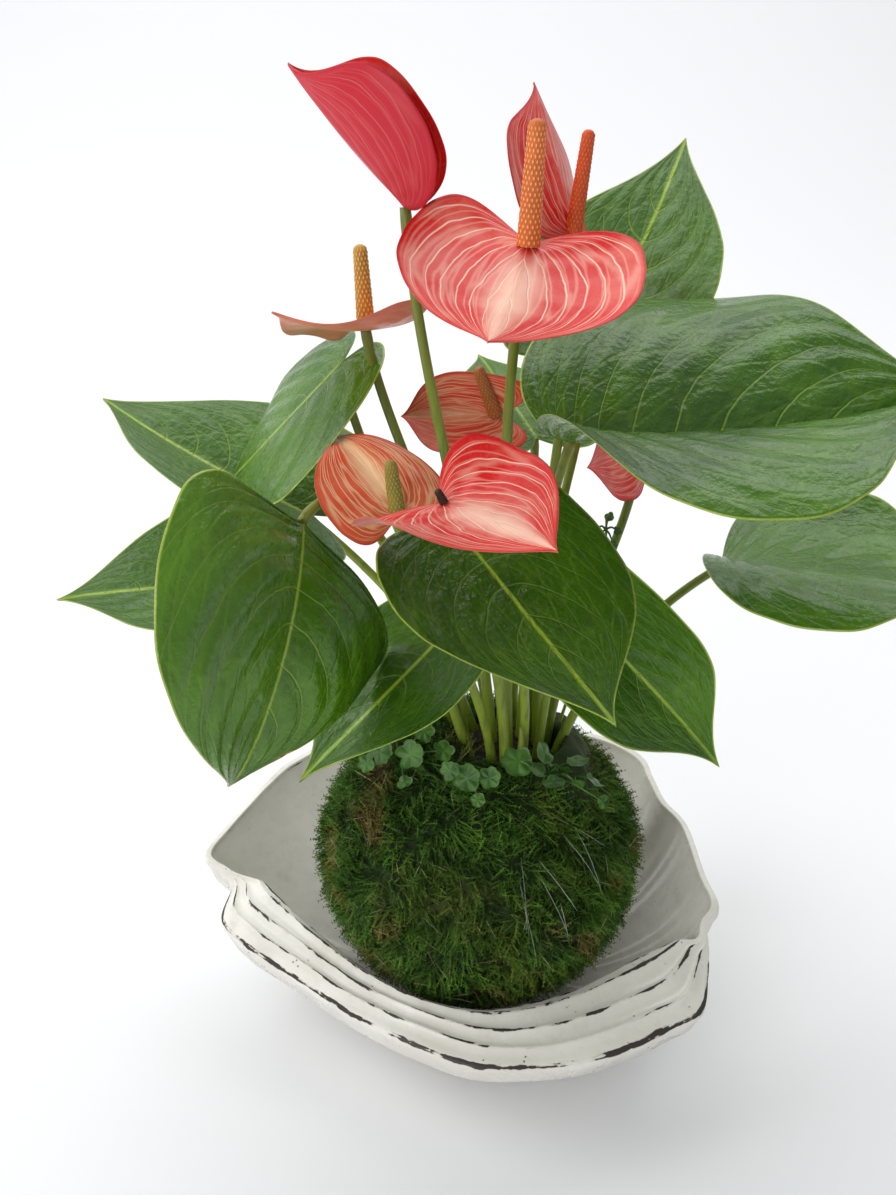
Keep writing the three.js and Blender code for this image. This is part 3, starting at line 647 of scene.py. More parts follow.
def spadixMaterial(name, base, dot, plainTip=0.0):
    material, tree, shader = newMaterial(name)
    where = place(tree)
    floret = attribute(tree, "floret")
    along = attribute(tree, "along")
    cloud = noise(tree, where, 140.0, 3.0)
    colour = blendColours(tree, ramp(tree, cloud, 0.3, 0.7, (0.0, 0.5)), base, tuple(0.6 * v for v in base))
    show = maths(tree, "MULTIPLY", ramp(tree, floret, 0.55, 0.85),
                 ramp(tree, along, 1.0 - plainTip + 0.001, 0.9 - plainTip, (0.0, 1.0)))
    colour = blendColours(tree, show, colour, dot)
    put(tree, shader.inputs["Base Color"], colour)
    shader.inputs["Roughness"].default_value = 0.5
    shader.inputs["Subsurface Weight"].default_value = 0.1
    shader.inputs["Subsurface Radius"].default_value = (0.002, 0.001, 0.0005)
    put(tree, shader.inputs["Normal"], bump(tree, noise(tree, where, 1500.0, 2.0), 0.25, 0.0002))
    return material


def spadixPiece(flower, name, material):
    # a tapering round column with a rounded tip; the florets are a lattice of small raised diamonds
    spec = flower["spadix"]
    length, radius = spec["length"], spec["radius"]
    rows, sides = (150, 72) if length > 10 else (40, 36)
    t = np.linspace(0, 1, rows)
    tip = 0.72 * radius
    body = radius + (tip - radius) * t
    endAt = 1 - tip / length
    tipRound = np.where(t > endAt, np.sqrt(np.clip(1 - ((t - endAt) / (1 - endAt)) ** 2, 0, 1)), 1)
    angle = np.linspace(0, 2 * np.pi, sides, endpoint=False)
    T, A = np.meshgrid(t, angle, indexing="ij")
    around = spec.get("florets", 7)
    pitch = 2 * np.pi * radius / around
    k = 2 * np.pi * length / pitch / 2
    lattice = np.cos(around * A + k * T) * np.cos(around * A - k * T)
    floret = np.clip(np.abs(lattice), 0, 1)
    r = (body * tipRound)[:, None] + spec.get("bumpy", 0.32) * (floret - 0.4) * tipRound[:, None] ** 2
    r[0] = r[0] * 0.6
    direction = np.array(spec["along"], float)
    direction /= np.linalg.norm(direction)
    side = np.cross(direction, [0, 1, 0.01])
    side /= np.linalg.norm(side)
    other = np.cross(direction, side)
    bow = spec.get("bow", [0, 0, 0])
    centre = np.array(flower["at"], float) + direction * (spec.get("raise", 0.2) + t * length)[:, None]
    centre = centre + np.array(bow, float) * (t * t)[:, None]
    r = np.maximum(r, 1e-4)
    points = (centre[:, None, :]
              + r[..., None] * (np.cos(A)[..., None] * side + np.sin(A)[..., None] * other))
    cap = centre[0] - direction * 0.1
    points = np.concatenate([np.broadcast_to(cap, (1, sides, 3)), points])
    T = np.vstack([np.zeros((1, sides)), T])
    floret = np.vstack([np.zeros((1, sides)), floret])
    piece = makePiece(name + "_fine", points, gridFaces(rows + 1, sides, wrap=True)[:, ::-1], material,
                      values={"along": T, "floret": floret}, replaces=(name,))
    return closeSeams(piece, 1e-6)


redSpathe = {"red": (0.66, 0.008, 0.008), "cream": (0.93, 0.62, 0.47)}
flowers = [
    {"name": "flower_bud_top", "at": [-25, -14, 322], "turn": [157, 46, -45], "length": 56, "width": 60,
     "widest": 0.42, "fold": [1.75, 0.6], "curl": [0.75, 0.6], "bend": 0.5, "lobe": 0.15, "notch": 0.9,
     "lift": [0.2, 0.2], "sweep": 0.2, "foot": [5, 2], "lean": [-4, 0], "arrive": [4, -14, -60],
     "spadix": {"length": 20, "radius": 1.9, "along": [-0.1, 0.05, 1], "florets": 6, "raise": 3.0},
     "slot": "spathe_red",
     "shade": dict(redSpathe, amount=0.35, centre=0.0, netShow=0.12, outside=(0.52, 0.018, 0.035)),
     "column": ((0.55, 0.12, 0.02), (0.75, 0.35, 0.1), 0.0), "look": {"blister": 0.15, "wave": 0.3}},
    {"name": "flower_main", "at": [12, -30, 314], "turn": [-101, -5, -20], "length": 73, "width": 75,
     "widest": 0.16, "fold": [0, -0.4], "curl": [0.65, 0.5], "bend": -0.6, "lobe": 0.38, "notch": 0.8,
     "lift": [0.65, 0.8], "sweep": 0.05, "foot": [10, -6], "lean": [0, 0], "arrive": [-9, 14, -70],
     "spadix": {"length": 37, "radius": 3.5, "along": [0.05, 0, 1], "florets": 7},
     "slot": "spathe_red",
     "shade": dict(redSpathe, amount=1.0, centre=0.85, netShow=0.3),
     "column": ((0.72, 0.17, 0.02), (0.9, 0.5, 0.2), 0.0),
     "look": {"blister": 0.3, "wave": 0.5, "rows": 140, "half": 40, "scars": [(0.2, -0.55, 0.012)]}},
    {"name": "flower_upright_back", "at": [30, 25, 304], "turn": [112, 52, 0], "length": 56, "width": 58,
     "widest": 0.3, "fold": [0.3, -0.8], "curl": [0.5, -0.3], "bend": 0.6, "lobe": 0.3, "notch": 1.5,
     "lift": [0.5, 1.5], "sweep": 0.1, "foot": [16, 8], "lean": [0, 0], "arrive": [4, 4, -70],
     "spadix": {"length": 34, "radius": 2.8, "along": [0.11, -0.05, 1], "florets": 6},
     "slot": "spathe_red",
     "shade": dict(redSpathe, amount=0.7, centre=0.1, netShow=0.25),
     "column": ((0.75, 0.09, 0.012), (0.85, 0.2, 0.05), 0.0), "look": {"blister": 0.2, "wave": 0.3}},
    {"name": "flower_edge_left", "at": [-39, 2, 279], "turn": [-126, 20, -13], "length": 48, "width": 51,
     "widest": 0.03, "fold": [0.23, -0.25], "curl": [1.1, -0.54], "bend": -0.4, "lobe": 0.43, "notch": 0.9,
     "lift": [-0.4, -1], "sweep": 0.04, "foot": [6, 9], "lean": [-7, 4], "arrive": [4, 12, -44],
     "spadix": {"length": 27, "radius": 2.9, "along": [-0.05, 0, 1], "florets": 6, "bumpy": 0.45},
     "slot": "spathe_pale",
     "shade": {"red": (0.68, 0.09, 0.05), "cream": (0.85, 0.5, 0.3), "amount": 0.6, "centre": 0.4,
               "netShow": 0.3, "outside": (0.78, 0.24, 0.16), "backVeins": 0.8},
     "column": ((0.55, 0.3, 0.04), (0.78, 0.55, 0.18), 0.0), "look": {"blister": 0.2, "wave": 0.6}},
    {"name": "flower_middle_back", "at": [5, 25, 239], "turn": [152, -11, -67], "length": 41, "width": 40,
     "widest": 0.19, "fold": [0.51, 0.54], "curl": [0.41, 0.54], "bend": 0.82, "lobe": 0.5, "notch": 0.4,
     "lift": [0.5, 0.5], "sweep": 0, "foot": [9, 17], "lean": [0, 0], "arrive": [2, -2, -50],
     "spadix": {"length": 22, "radius": 2.6, "along": [-0.3, -0.3, 0.9], "florets": 6},
     "slot": "spathe_pale",
     "shade": {"red": (0.68, 0.06, 0.03), "cream": (0.88, 0.6, 0.36), "amount": 0.8, "centre": 0.5,
               "netShow": 0.5},
     "column": ((0.4, 0.12, 0.02), (0.5, 0.22, 0.06), 0.0), "look": {"blister": 0.2, "wave": 0.3}},
    {"name": "flower_orange_left", "at": [-28, -48, 235], "turn": [121, 13, -8], "length": 47, "width": 43,
     "widest": 0.15, "fold": [0.1, 0.34], "curl": [0, -1], "bend": 1.08, "lobe": 0.37, "notch": 0.97,
     "lift": [0.6, 0.5], "sweep": 0.11, "foot": [-4, -4], "lean": [-5, 4], "arrive": [4, 28, -20],
     "spadix": {"length": 18, "radius": 2.6, "along": [-0.1, -0.1, 1], "florets": 6},
     "slot": "spathe_pale",
     "shade": {"red": (0.68, 0.09, 0.03), "cream": (0.88, 0.62, 0.34), "amount": 0.9, "centre": 0.9,
               "netShow": 0.6},
     "column": ((0.3, 0.24, 0.03), (0.42, 0.34, 0.06), 0.0), "look": {"blister": 0.2, "wave": 0.4}},
    {"name": "flower_front_red", "at": [-13, -75, 250], "turn": [-58, 8, 13], "length": 57, "width": 58,
     "widest": 0.06, "fold": [-0.05, -0.2], "curl": [0.43, 1.1], "bend": -0.24, "lobe": 0.4, "notch": 0.57,
     "lift": [1.4, -1], "sweep": 0.21, "foot": [9, -17], "lean": [2, 2], "arrive": [-1, 26, -10],
     "spadix": {"length": 5, "radius": 1.3, "along": [-0.5, 0, 1], "florets": 5, "bumpy": 0.3},
     "slot": "spathe_red",
     "shade": dict(redSpathe, amount=1.0, centre=0.9, netShow=0.3),
     "column": ((0.03, 0.015, 0.01), (0.06, 0.03, 0.015), 0.0), "look": {"blister": 0.25, "wave": 0.3}},
    {"name": "flower_hidden_right", "at": [56, 20, 228], "turn": [122, -31, -77], "length": 35, "width": 36,
     "widest": 0.12, "fold": [0.09, 0.15], "curl": [0.08, 0.1], "bend": 0.16, "lobe": 0.41, "notch": 0.71,
     "lift": [1.2, 0.5], "sweep": 0, "foot": [25, 10], "lean": [4, 0], "arrive": [-2, 0, -40],
     "spadix": {"length": 18, "radius": 2.2, "along": [0, -0.5, 0.8], "florets": 6},
     "slot": "spathe_red",
     "shade": {"red": (0.6, 0.03, 0.03), "cream": (0.85, 0.45, 0.36), "amount": 0.6, "centre": 0.1,
               "netShow": 0.4},
     "column": ((0.5, 0.12, 0.03), (0.65, 0.3, 0.1), 0.0), "look": {"blister": 0.1, "wave": 0.2}},
]

for number, flower in enumerate(flowers):
    look = dict({"count": 7, "sweep": 0.1, "rows": 100, "half": 30, "ridge": 0.0, "thick": 0.7,
                 "seed": 30 + number, "ragged": 0.003}, **flower["look"])
    material = spatheMaterial(flower["name"] + " skin", **flower["shade"])
    bladePiece(flower, material, flower["name"] + "_spathe", look)
    stemPiece(flower, flower["name"] + "_stalk", 1.9, stalkSkin)
    spadixPiece(flower, flower["name"] + "_spadix",
                spadixMaterial(flower["name"] + " florets", *flower["column"]))
print("flowers made")


# moss ball

ball = {"radius": 60.0, "half": 57.0, "centre": 67.3, "length": (4.5, 8.5), "opening": 25.0}


def onBall(direction, out=0.0):
    # the ellipsoid's surface point in a direction, moved out along it
    scale = np.array([ball["radius"], ball["radius"], ball["half"]])
    return direction * (scale + out) + np.array([0, 0, ball["centre"]])


def mossLump(direction):
    # broad swells of the moss plus finer ones, in a direction from the ball's centre
    return waveNoise(direction * 60, 22, 3) + waveNoise(direction * 60, 7, 4) * 0.7


def mossMaterial(name, dark, light, brown):
    material, tree, shader = newMaterial(name)
    where = place(tree)
    tipward = attribute(tree, "tipward")
    tint = attribute(tree, "tint")
    patch = noise(tree, where, 38.0, 3.0)
    bright = maths(tree, "MULTIPLY_ADD", tint, 0.6, maths(tree, "MULTIPLY", tipward, 0.45))
    bright = maths(tree, "MULTIPLY", bright,
                   ramp(tree, noise(tree, where, 75.0, 3.0), 0.3, 0.7, (0.45, 1.2)))
    colour = blendColours(tree, bright, dark, light)
    olive = ramp(tree, noise(tree, where, 24.0, 3.0), 0.5, 0.7, (0.0, 0.6))
    colour = blendColours(tree, maths(tree, "MULTIPLY", olive, bright), colour, (0.2, 0.2, 0.03))
    colour = blendColours(tree, ramp(tree, patch, 0.56, 0.68, (0.0, 0.8)), colour, brown)
    put(tree, shader.inputs["Base Color"], colour)
    shader.inputs["Roughness"].default_value = 0.75
    shader.inputs["Specular IOR Level"].default_value = 0.25
    return material


mossGreen = mossMaterial("moss", (0.01, 0.03, 0.004), (0.12, 0.27, 0.025), (0.2, 0.13, 0.045))
# moss under: the same moss darkened to about a quarter, painted shade for the gaps down between the sprigs
mossInShade = mossMaterial("moss under", (0.008, 0.022, 0.003), (0.024, 0.05, 0.008), (0.05, 0.03, 0.01))


def sprigPiece(name, roots, outward, fall, lengths, material, seed, leafletWidth=1.1):
    # each sprig: a thin bent ribbon of three steps with four pairs of small pointed leaflets
    rng = np.random.default_rng(seed)
    n = len(roots)
    ahead = outward + fall
    ahead /= np.linalg.norm(ahead, axis=1)[:, None]
    side = np.cross(ahead, outward + rng.normal(size=(n, 3)) * 0.8)
    side /= np.linalg.norm(side, axis=1)[:, None]
    droop = fall * 0.5
    t = np.array([0.0, 0.35, 0.7, 1.0])
    spine = (roots[:, None] + ahead[:, None] * (lengths[:, None] * t)[..., None]
             + droop[:, None] * (lengths[:, None] * t ** 2 * 0.6)[..., None])
    width = np.array([0.28, 0.26, 0.2, 0.03])
    left = spine + side[:, None] * width[None, :, None]
    right = spine - side[:, None] * width[None, :, None]
    ribbon = np.stack([left, right], 2).reshape(n, 8, 3)
    quads = np.array([[0, 1, 3, 2], [2, 3, 5, 4], [4, 5, 7, 6]])
    ribbonTris = np.concatenate([quads[:, [0, 1, 2]], quads[:, [0, 2, 3]]])
    parts, tris, tipward = [ribbon], [ribbonTris], [np.tile(np.repeat(t, 2), (n, 1))]
    base = 8
    for k, at in enumerate((0.25, 0.5, 0.75, 0.92)):
        centre = roots + ahead * (lengths * at)[:, None] + droop * (lengths * at ** 2 * 0.6)[:, None]
        size = leafletWidth * (1.15 - 0.5 * at) * rng.uniform(0.7, 1.2, n)
        for direction in (1, -1):
            tipPoint = centre + side * (direction * size)[:, None] + ahead * (0.9 * size)[:, None] \
                + outward * rng.uniform(-0.2, 0.5, n)[:, None] * size[:, None]
            front = centre + ahead * (0.55 * size)[:, None]
            parts.append(np.stack([centre, front, tipPoint], 1))
            tris.append(np.array([[base, base + 1, base + 2]]))
            tipward.append(np.tile([at * 0.8, at * 0.8, 1.0], (n, 1)))
            base += 3
    points = np.concatenate(parts, 1)
    faces = (np.concatenate(tris)[None] + (np.arange(n) * base)[:, None, None]).reshape(-1, 3)
    tint = np.repeat(rng.uniform(0, 1, n) ** 1.6, base)
    return makePiece(name, points, faces, material,
                     values={"tipward": np.concatenate(tipward, 1), "tint": tint}, smooth=False)


def mossRoots(count, seed, lowest, highest):
    # random directions on the ball between two heights, clear of the opening at the crown
    rng = np.random.default_rng(seed)
    z = rng.uniform(lowest, highest, count * 2)
    angle = rng.uniform(0, 2 * np.pi, count * 2)
    flat = np.sqrt(1 - z * z)
    direction = np.stack([flat * np.cos(angle), flat * np.sin(angle), z], 1)
    point = onBall(direction)
    clear = np.hypot(point[:, 0] - crown["x"], point[:, 1] - crown["y"]) > ball["opening"] - 3
    keep = (z < 0) | clear
    return direction[keep][:count], rng


def mossShell():
    # the shell under the sprigs: the CAD shell's outer skin with lumps, and its wall round the opening; it
    # wears the darkened moss, painted shade in the gaps between the sprigs
    rows, columns = 150, 220
    drop = np.linspace(0, 1, rows)
    angle = np.linspace(0, 2 * np.pi, columns, endpoint=False)
    top = 0.36
    polar = top + (np.pi - top) * drop
    P, A = np.meshgrid(polar, angle, indexing="ij")
    direction = np.stack([np.sin(P) * np.cos(A), np.sin(P) * np.sin(A), np.cos(P)], -1)
    lump = mossLump(direction)
    outer = onBall(direction, -1.8 + lump[..., None])
    shift = np.exp(-((P - top) / 0.35) ** 2)[..., None]
    outer[..., 0:1] += crown["x"] * shift
    outer[..., 1:2] += crown["y"] * shift
    inner = outer[0] * [0.95, 0.95, 1] + [0.4, 0, -3]
    deeper = outer[0] * [0.9, 0.9, 1] + [0.8, 0, -9]
    points = np.concatenate([deeper[None], inner[None], outer])
    piece = makePiece("moss_body", points, gridFaces(rows + 2, columns, wrap=True)[:, ::-1], mossInShade,
                      values={"tipward": np.zeros(points.shape[:2]),
                              "tint": np.full(points.shape[:2], 0.4)},
                      replaces=("moss_shell",))
    return closeSeams(piece)


def mossSprigs(name, count, seed, lowest, highest, material, lengthScale=1.0):
    direction, rng = mossRoots(count, seed, lowest, highest)
    n = len(direction)
    outward = direction / np.linalg.norm(direction, axis=1)[:, None]
    lump = mossLump(direction)
    roots = onBall(direction, (-2.2 + lump)[:, None])
    near = np.hypot(roots[:, 0] - crown["x"], roots[:, 1] - crown["y"])
    tangent = rng.normal(size=(n, 3))
    tangent -= outward * (tangent * outward).sum(1)[:, None]
    tangent /= np.linalg.norm(tangent, axis=1)[:, None]
    swirl = np.stack([waveNoise(direction * 60, 26, 21 + k) for k in range(3)], 1) * 1.1
    swirl -= outward * (swirl * outward).sum(1)[:, None]
    down = np.array([0, 0, -1.0]) - outward * (-outward[:, 2:3])
    fall = tangent * 0.55 + swirl + down * 0.35
    lengths = rng.uniform(*ball["length"], n) * lengthScale
    lengths = np.where(near < 30, lengths * 0.8, lengths)
    lifted = outward * rng.uniform(0.35, 0.9, n)[:, None]
    return sprigPiece(name, roots, lifted, fall * 0.9, lengths, material, seed + 1)


mossShell()
mossSprigs("moss_sprigs_upper", 11000, 41, 0.05, 0.985, mossGreen)
mossSprigs("moss_sprigs_lower", 11000, 43, -0.93, 0.12, mossGreen)
print("moss made")

# loose straws and a nylon line wound round the ball

def ribbonsOnBall(name, count, radius, length, seed, material, band, spread=1.0):
    # thin four-sided rods that lie on the ball, each bent with its surface
    rng = np.random.default_rng(seed)
    z = rng.uniform(*band["height"], count)
    angle = rng.uniform(*band["round"], count)
    flat = np.sqrt(1 - z * z)
    direction = np.stack([flat * np.cos(angle), flat * np.sin(angle), z], 1)
    tangent = rng.normal(size=(count, 3)) * spread + np.array(band.get("lay", [0, 0, 0]))
    tangent -= direction * (tangent * direction).sum(1)[:, None]
    tangent /= np.linalg.norm(tangent, axis=1)[:, None]
    steps = 5
    t = np.linspace(-0.5, 0.5, steps)
    size = rng.uniform(*length, count) / ball["radius"]
    middle = direction[:, None] + tangent[:, None] * (size[:, None] * t)[..., None]
    middle /= np.linalg.norm(middle, axis=2)[..., None]
    lift = rng.uniform(1.0, 3.2, count)[:, None] + rng.uniform(-1, 1, count)[:, None] * t * 3
    spine = onBall(middle, lift[..., None])
    side = np.cross(tangent, direction)
    corner = np.array([[1, 0], [0, 1], [-1, 0], [0, -1]])
    thick = radius * np.array([0.5, 1, 1, 1, 0.4])
    ring = (corner[:, 0][None, None, :, None] * side[:, None, None]
            + corner[:, 1][None, None, :, None] * direction[:, None, None])
    points = spine[:, :, None] + ring * thick[None, :, None, None]
    single = gridFaces(steps, 4, wrap=True)
    ends = np.array([[3, 2, 1, 0], [16, 17, 18, 19]])
    faces = np.concatenate([single, ends])
    faces = (faces[None] + (np.arange(count) * steps * 4)[:, None, None]).reshape(-1, 4)
    return makePiece(name, points, faces, material,
                     values={"tint": np.repeat(rng.uniform(0, 1, count), steps * 4)})


def plainMaterial(name, a, b, roughness, coat=0.0):
    material, tree, shader = newMaterial(name)
    colour = blendColours(tree, attribute(tree, "tint"), a, b)
    colour = blendColours(tree, ramp(tree, noise(tree, place(tree), 300.0, 3.0), 0.3, 0.8, (0.0, 0.5)),
                          colour,
                          tuple(0.5 * v for v in a))
    put(tree, shader.inputs["Base Color"], colour)
    shader.inputs["Roughness"].default_value = roughness
    shader.inputs["Coat Weight"].default_value = coat
    return material


strawSkin = plainMaterial("straw", (0.16, 0.12, 0.05), (0.5, 0.42, 0.24), 0.6)
ribbonsOnBall("moss_straws", 110, 0.11, (4, 11), 51, strawSkin,
              {"height": (-0.6, 0.85), "round": (-2.9, -0.2)})
nylonSkin = plainMaterial("nylon line", (0.3, 0.34, 0.32), (0.6, 0.62, 0.6), 0.25, 0.3)
ribbonsOnBall("nylon_line", 9, 0.11, (18, 34), 52, nylonSkin,
              {"height": (0.1, 0.6), "round": (-1.35, -0.75), "lay": [-0.3, -0.3, 2.2]}, spread=0.35)

# soil: the CAD ball keeps its shape and gets a crumbly dark skin
soilSkin, tree, shader = newMaterial("soil")
crumbs = cells(tree, place(tree), 260.0, "F1")
soilColour = blendColours(tree, ramp(tree, crumbs, 0.1, 0.7), (0.035, 0.02, 0.01), (0.01, 0.006, 0.003))
put(tree, shader.inputs["Base Color"], soilColour)
shader.inputs["Roughness"].default_value = 0.95
put(tree, shader.inputs["Normal"], bump(tree, crumbs, 0.9, 0.002))
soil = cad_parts["soil_ball"]
soil.data.materials.clear()
soil.data.materials.append(soilSkin)
print("ball dressed")


# weeds, shoot and bracts

def leafletPoints(centre, facing, ahead, length, width, lobes=5, cup=0.25):
    # a small lobed leaf: r runs from the middle to the scalloped rim and the angle round it
    facing = np.asarray(facing, float) / np.linalg.norm(facing)
    ahead = np.asarray(ahead, float)
    ahead = ahead - facing * (ahead @ facing)
    ahead /= np.linalg.norm(ahead)
    side = np.cross(facing, ahead)
    r = np.linspace(0, 1, 5)
    angle = np.linspace(0, 2 * np.pi, 40, endpoint=False)
    R, A = np.meshgrid(r, angle, indexing="ij")
    rim = 0.8 + 0.2 * np.abs(np.cos(lobes * A / 2)) ** 0.7 - 0.25 * np.exp(-((A - np.pi) / 0.35) ** 2)
    x = R * rim * np.cos(A) * length / 2
    y = R * rim * np.sin(A) * width / 2
    z = cup * (R ** 2) * length * 0.25 * np.cos(2 * A) + 0.05 * length * R * np.cos(lobes * A)
    top = centre + x[..., None] * ahead + y[..., None] * side + z[..., None] * facing
    under = top - facing * 0.25 * (1 - 0.8 * R[..., None])
    return np.concatenate([top.reshape(-1, 3), under.reshape(-1, 3)]), R


def weedPiece(name, foot, stems, material, seed, size=(5.0, 4.6)):
    # a thread-thin stem from the foot to each leaflet; every leaflet is a scalloped disc
    rng = np.random.default_rng(seed)
    points, faces, along, start = [], [], [], 0
    foot = np.asarray(foot, float)
    for spec in stems:
        tipPoint = foot + np.asarray(spec[:3], float)
        scale = spec[3] if len(spec) > 3 else 1.0
        middle = (foot + tipPoint) / 2 + [0, 0, 1.6]
        path = bezier([foot, middle, middle, tipPoint], np.linspace(0, 1, 8))
        ring = tubePoints(path, np.linspace(0.45, 0.3, 8), 5)
        points.append(ring.reshape(-1, 3))
        faces.append(gridFaces(8, 5, wrap=True, start=start))
        along.append(np.zeros(40))
        start += 40
        facing = np.array([rng.normal() * 0.5, -0.5 + rng.normal() * 0.45, 0.7])
        leafPoints, R = leafletPoints(tipPoint, facing, tipPoint - foot + [0, 0, 0.1], size[0] * scale * 2,
                                      size[1] * scale * 2, lobes=rng.integers(4, 7))
        n = R.size
        points.append(leafPoints)
        faces.append(gridFaces(5, 40, wrap=True, start=start))
        faces.append(gridFaces(5, 40, wrap=True, start=start + n)[:, ::-1])
        last = 4 * 40 + np.arange(40)
        after = 4 * 40 + (np.arange(40) + 1) % 40
        faces.append(np.stack([start + last, start + after, start + n + after, start + n + last],
                              -1)[:, ::-1])
        along.append(np.tile(R.ravel(), 2))
        start += 2 * n
    piece = makePiece(name + "_fine", np.concatenate(points), np.concatenate(faces), material,
                      values={"rim": np.concatenate(along)}, replaces=(name,))
    return closeSeams(piece, 1e-6)


weedSkin, tree, shader = newMaterial("weed leaf")
weedColour = blendColours(tree, ramp(tree, noise(tree, place(tree), 130.0, 3.0), 0.3, 0.7),
                          (0.025, 0.085, 0.01), (0.07, 0.19, 0.02))
weedColour = blendColours(tree, ramp(tree, attribute(tree, "rim"), 0.75, 1.0, (0.0, 0.5)), weedColour,
                          (0.1, 0.22, 0.04))
put(tree, shader.inputs["Base Color"], weedColour)
shader.inputs["Roughness"].default_value = 0.45
put(tree, shader.inputs["Normal"], bump(tree, noise(tree, place(tree), 500.0, 3.0), 0.3, 0.0004))


def ballFoot(roundAngle, above):
    a, b = math.radians(roundAngle), math.radians(above)
    return [ball["radius"] * math.cos(b) * math.cos(a), ball["radius"] * math.cos(b) * math.sin(a),
            ball["centre"] + ball["half"] * math.sin(b)]


weedPiece("weed_sprig_left", ballFoot(-160, 58),
          [(-7, -6, 8, 1.1), (4, -9, 9, 1.2), (-13, 1, 13, 1.0), (-2, -2, 16, 1.1), (-12, -7, 4, 0.8),
           (10, -13, 4, 1.0), (16, -8, 10, 0.9), (2, -15, 1, 0.7), (9, -3, 15, 0.9), (20, -13, 5, 0.6),
           (22, -19, -1, 0.8)], weedSkin, 61)
weedPiece("weed_leaf_front", ballFoot(-95, 62),
          [(-3, -7, 7, 1.15), (5, -8, 8, 0.9), (1, -13, 2, 0.6), (-9, -7, 10, 0.8)], weedSkin, 62)
weedPiece("weed_creeper_right", ballFoot(-38, 58),
          [(4, -3, 5, 1.0), (10, -1, 7, 0.9), (16, -8, 3, 0.8), (8, -9, 4, 1.1), (-6, -8, 9, 1.2),
           (19, -13, -3, 0.6), (1, -12, 5, 0.9), (-12, -9, 12, 1.3), (-2, -2, 11, 1.0)], weedSkin, 63)

frond = {"foot": [28, 13, 105.3], "tip": [44, 6, 208]}
frondPath = bezier([frond["foot"], np.add(frond["foot"], [10, 0, 40]), np.add(frond["tip"], [2, 0, -30]),
                    frond["tip"]],
                   np.linspace(0, 1, 40))
tubePiece("weed_frond_stem", frondPath, np.linspace(0.7, 0.4, 40), 8, petioleSkin)
weedPiece("weed_frond", [44, 6, 203],
          [(1, 0, 5, 0.4), (-3, -1, 1, 0.36), (4, -1, 0, 0.38), (-2, 1, -5, 0.34), (3, 0, -6, 0.36)],
          weedSkin, 64)

shootPath = bezier([[15, -20, 105.3], [15, -20, 118], [15, -22, 128], [14, -22, 138]],
                   np.linspace(0, 1, 24))
shootWidth = 1.4 * np.sin(np.linspace(0.9, 3.05, 24)) ** 0.6
tubePiece("new_shoot_fine", shootPath, shootWidth, 12, petioleSkin, replaces=("new_shoot",))

bractSkin, tree, shader = newMaterial("dry bract")
fibres = noise(tree, place(tree), 420.0, 4.0)
put(tree, shader.inputs["Base Color"], blendColours(tree, fibres, (0.10, 0.028, 0.012), (0.3, 0.14, 0.06)))
shader.inputs["Roughness"].default_value = 0.75
put(tree, shader.inputs["Normal"], bump(tree, fibres, 0.5, 0.0004))


def bractPiece(name, node, curl):
    # a small boat-shaped scale: a tapering strip, rolled across its width
    low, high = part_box(node)
    low, high = np.array(low) / mm, np.array(high) / mm
    base = np.array([low[0] + 1.2, (low[1] + high[1]) / 2, low[2]])
    tipPoint = np.array([high[0], (low[1] + high[1]) / 2, high[2]])
    t, w = np.meshgrid(np.linspace(0, 1, 24), np.linspace(-1, 1, 13), indexing="ij")
    width = 1.7 * np.sin(np.pi * (0.12 + 0.86 * t)) ** 0.8
    spine = base + (tipPoint - base) * t[..., None] + np.array([0, 0, 0.6]) * np.sin(np.pi * t)[..., None]
    roll = w * 1.25
    offset = (np.stack([np.cos(roll) * width - width, np.sin(roll) * width, np.zeros_like(t)], -1)
              * [curl, 1, 1])
    skin = spine + offset
    inner = skin + np.stack([-np.cos(roll) * 0.18 * curl, -np.sin(roll) * 0.18, np.zeros_like(t)], -1)
    n = t.size
    faces = [gridFaces(24, 13), gridFaces(24, 13, start=n)[:, ::-1]]
    i = np.arange(23) * 13
    for column, flip in ((0, True), (12, False)):
        strip = np.stack([i + column, i + column + 13, i + column + 13 + n, i + column + n], -1)
        faces.append(strip if flip else strip[:, ::-1])
    j = np.arange(12)
    for row, flip in ((0, False), (23, True)):
        strip = np.stack([row * 13 + j, row * 13 + j + 1, row * 13 + j + 1 + n, row * 13 + j + n], -1)
        faces.append(strip if flip else strip[:, ::-1])
    return makePiece(name, np.concatenate([skin.reshape(-1, 3), inner.reshape(-1, 3)]),
                     np.concatenate(faces),
                     bractSkin, replaces=(node,))


bractPiece("bract_left_fine", "bract_left", 1.0)
bractPiece("bract_right_fine", "bract_right", 1.0)
print("weeds made")


# bowl

bowl = {"columns": 420, "footRadius": 40.0, "floorRadius": 34.0, "floorHeight": 10.0, "bulge": 4.0,
        "ridges": 3.4, "ridgeDepth": 1.5}
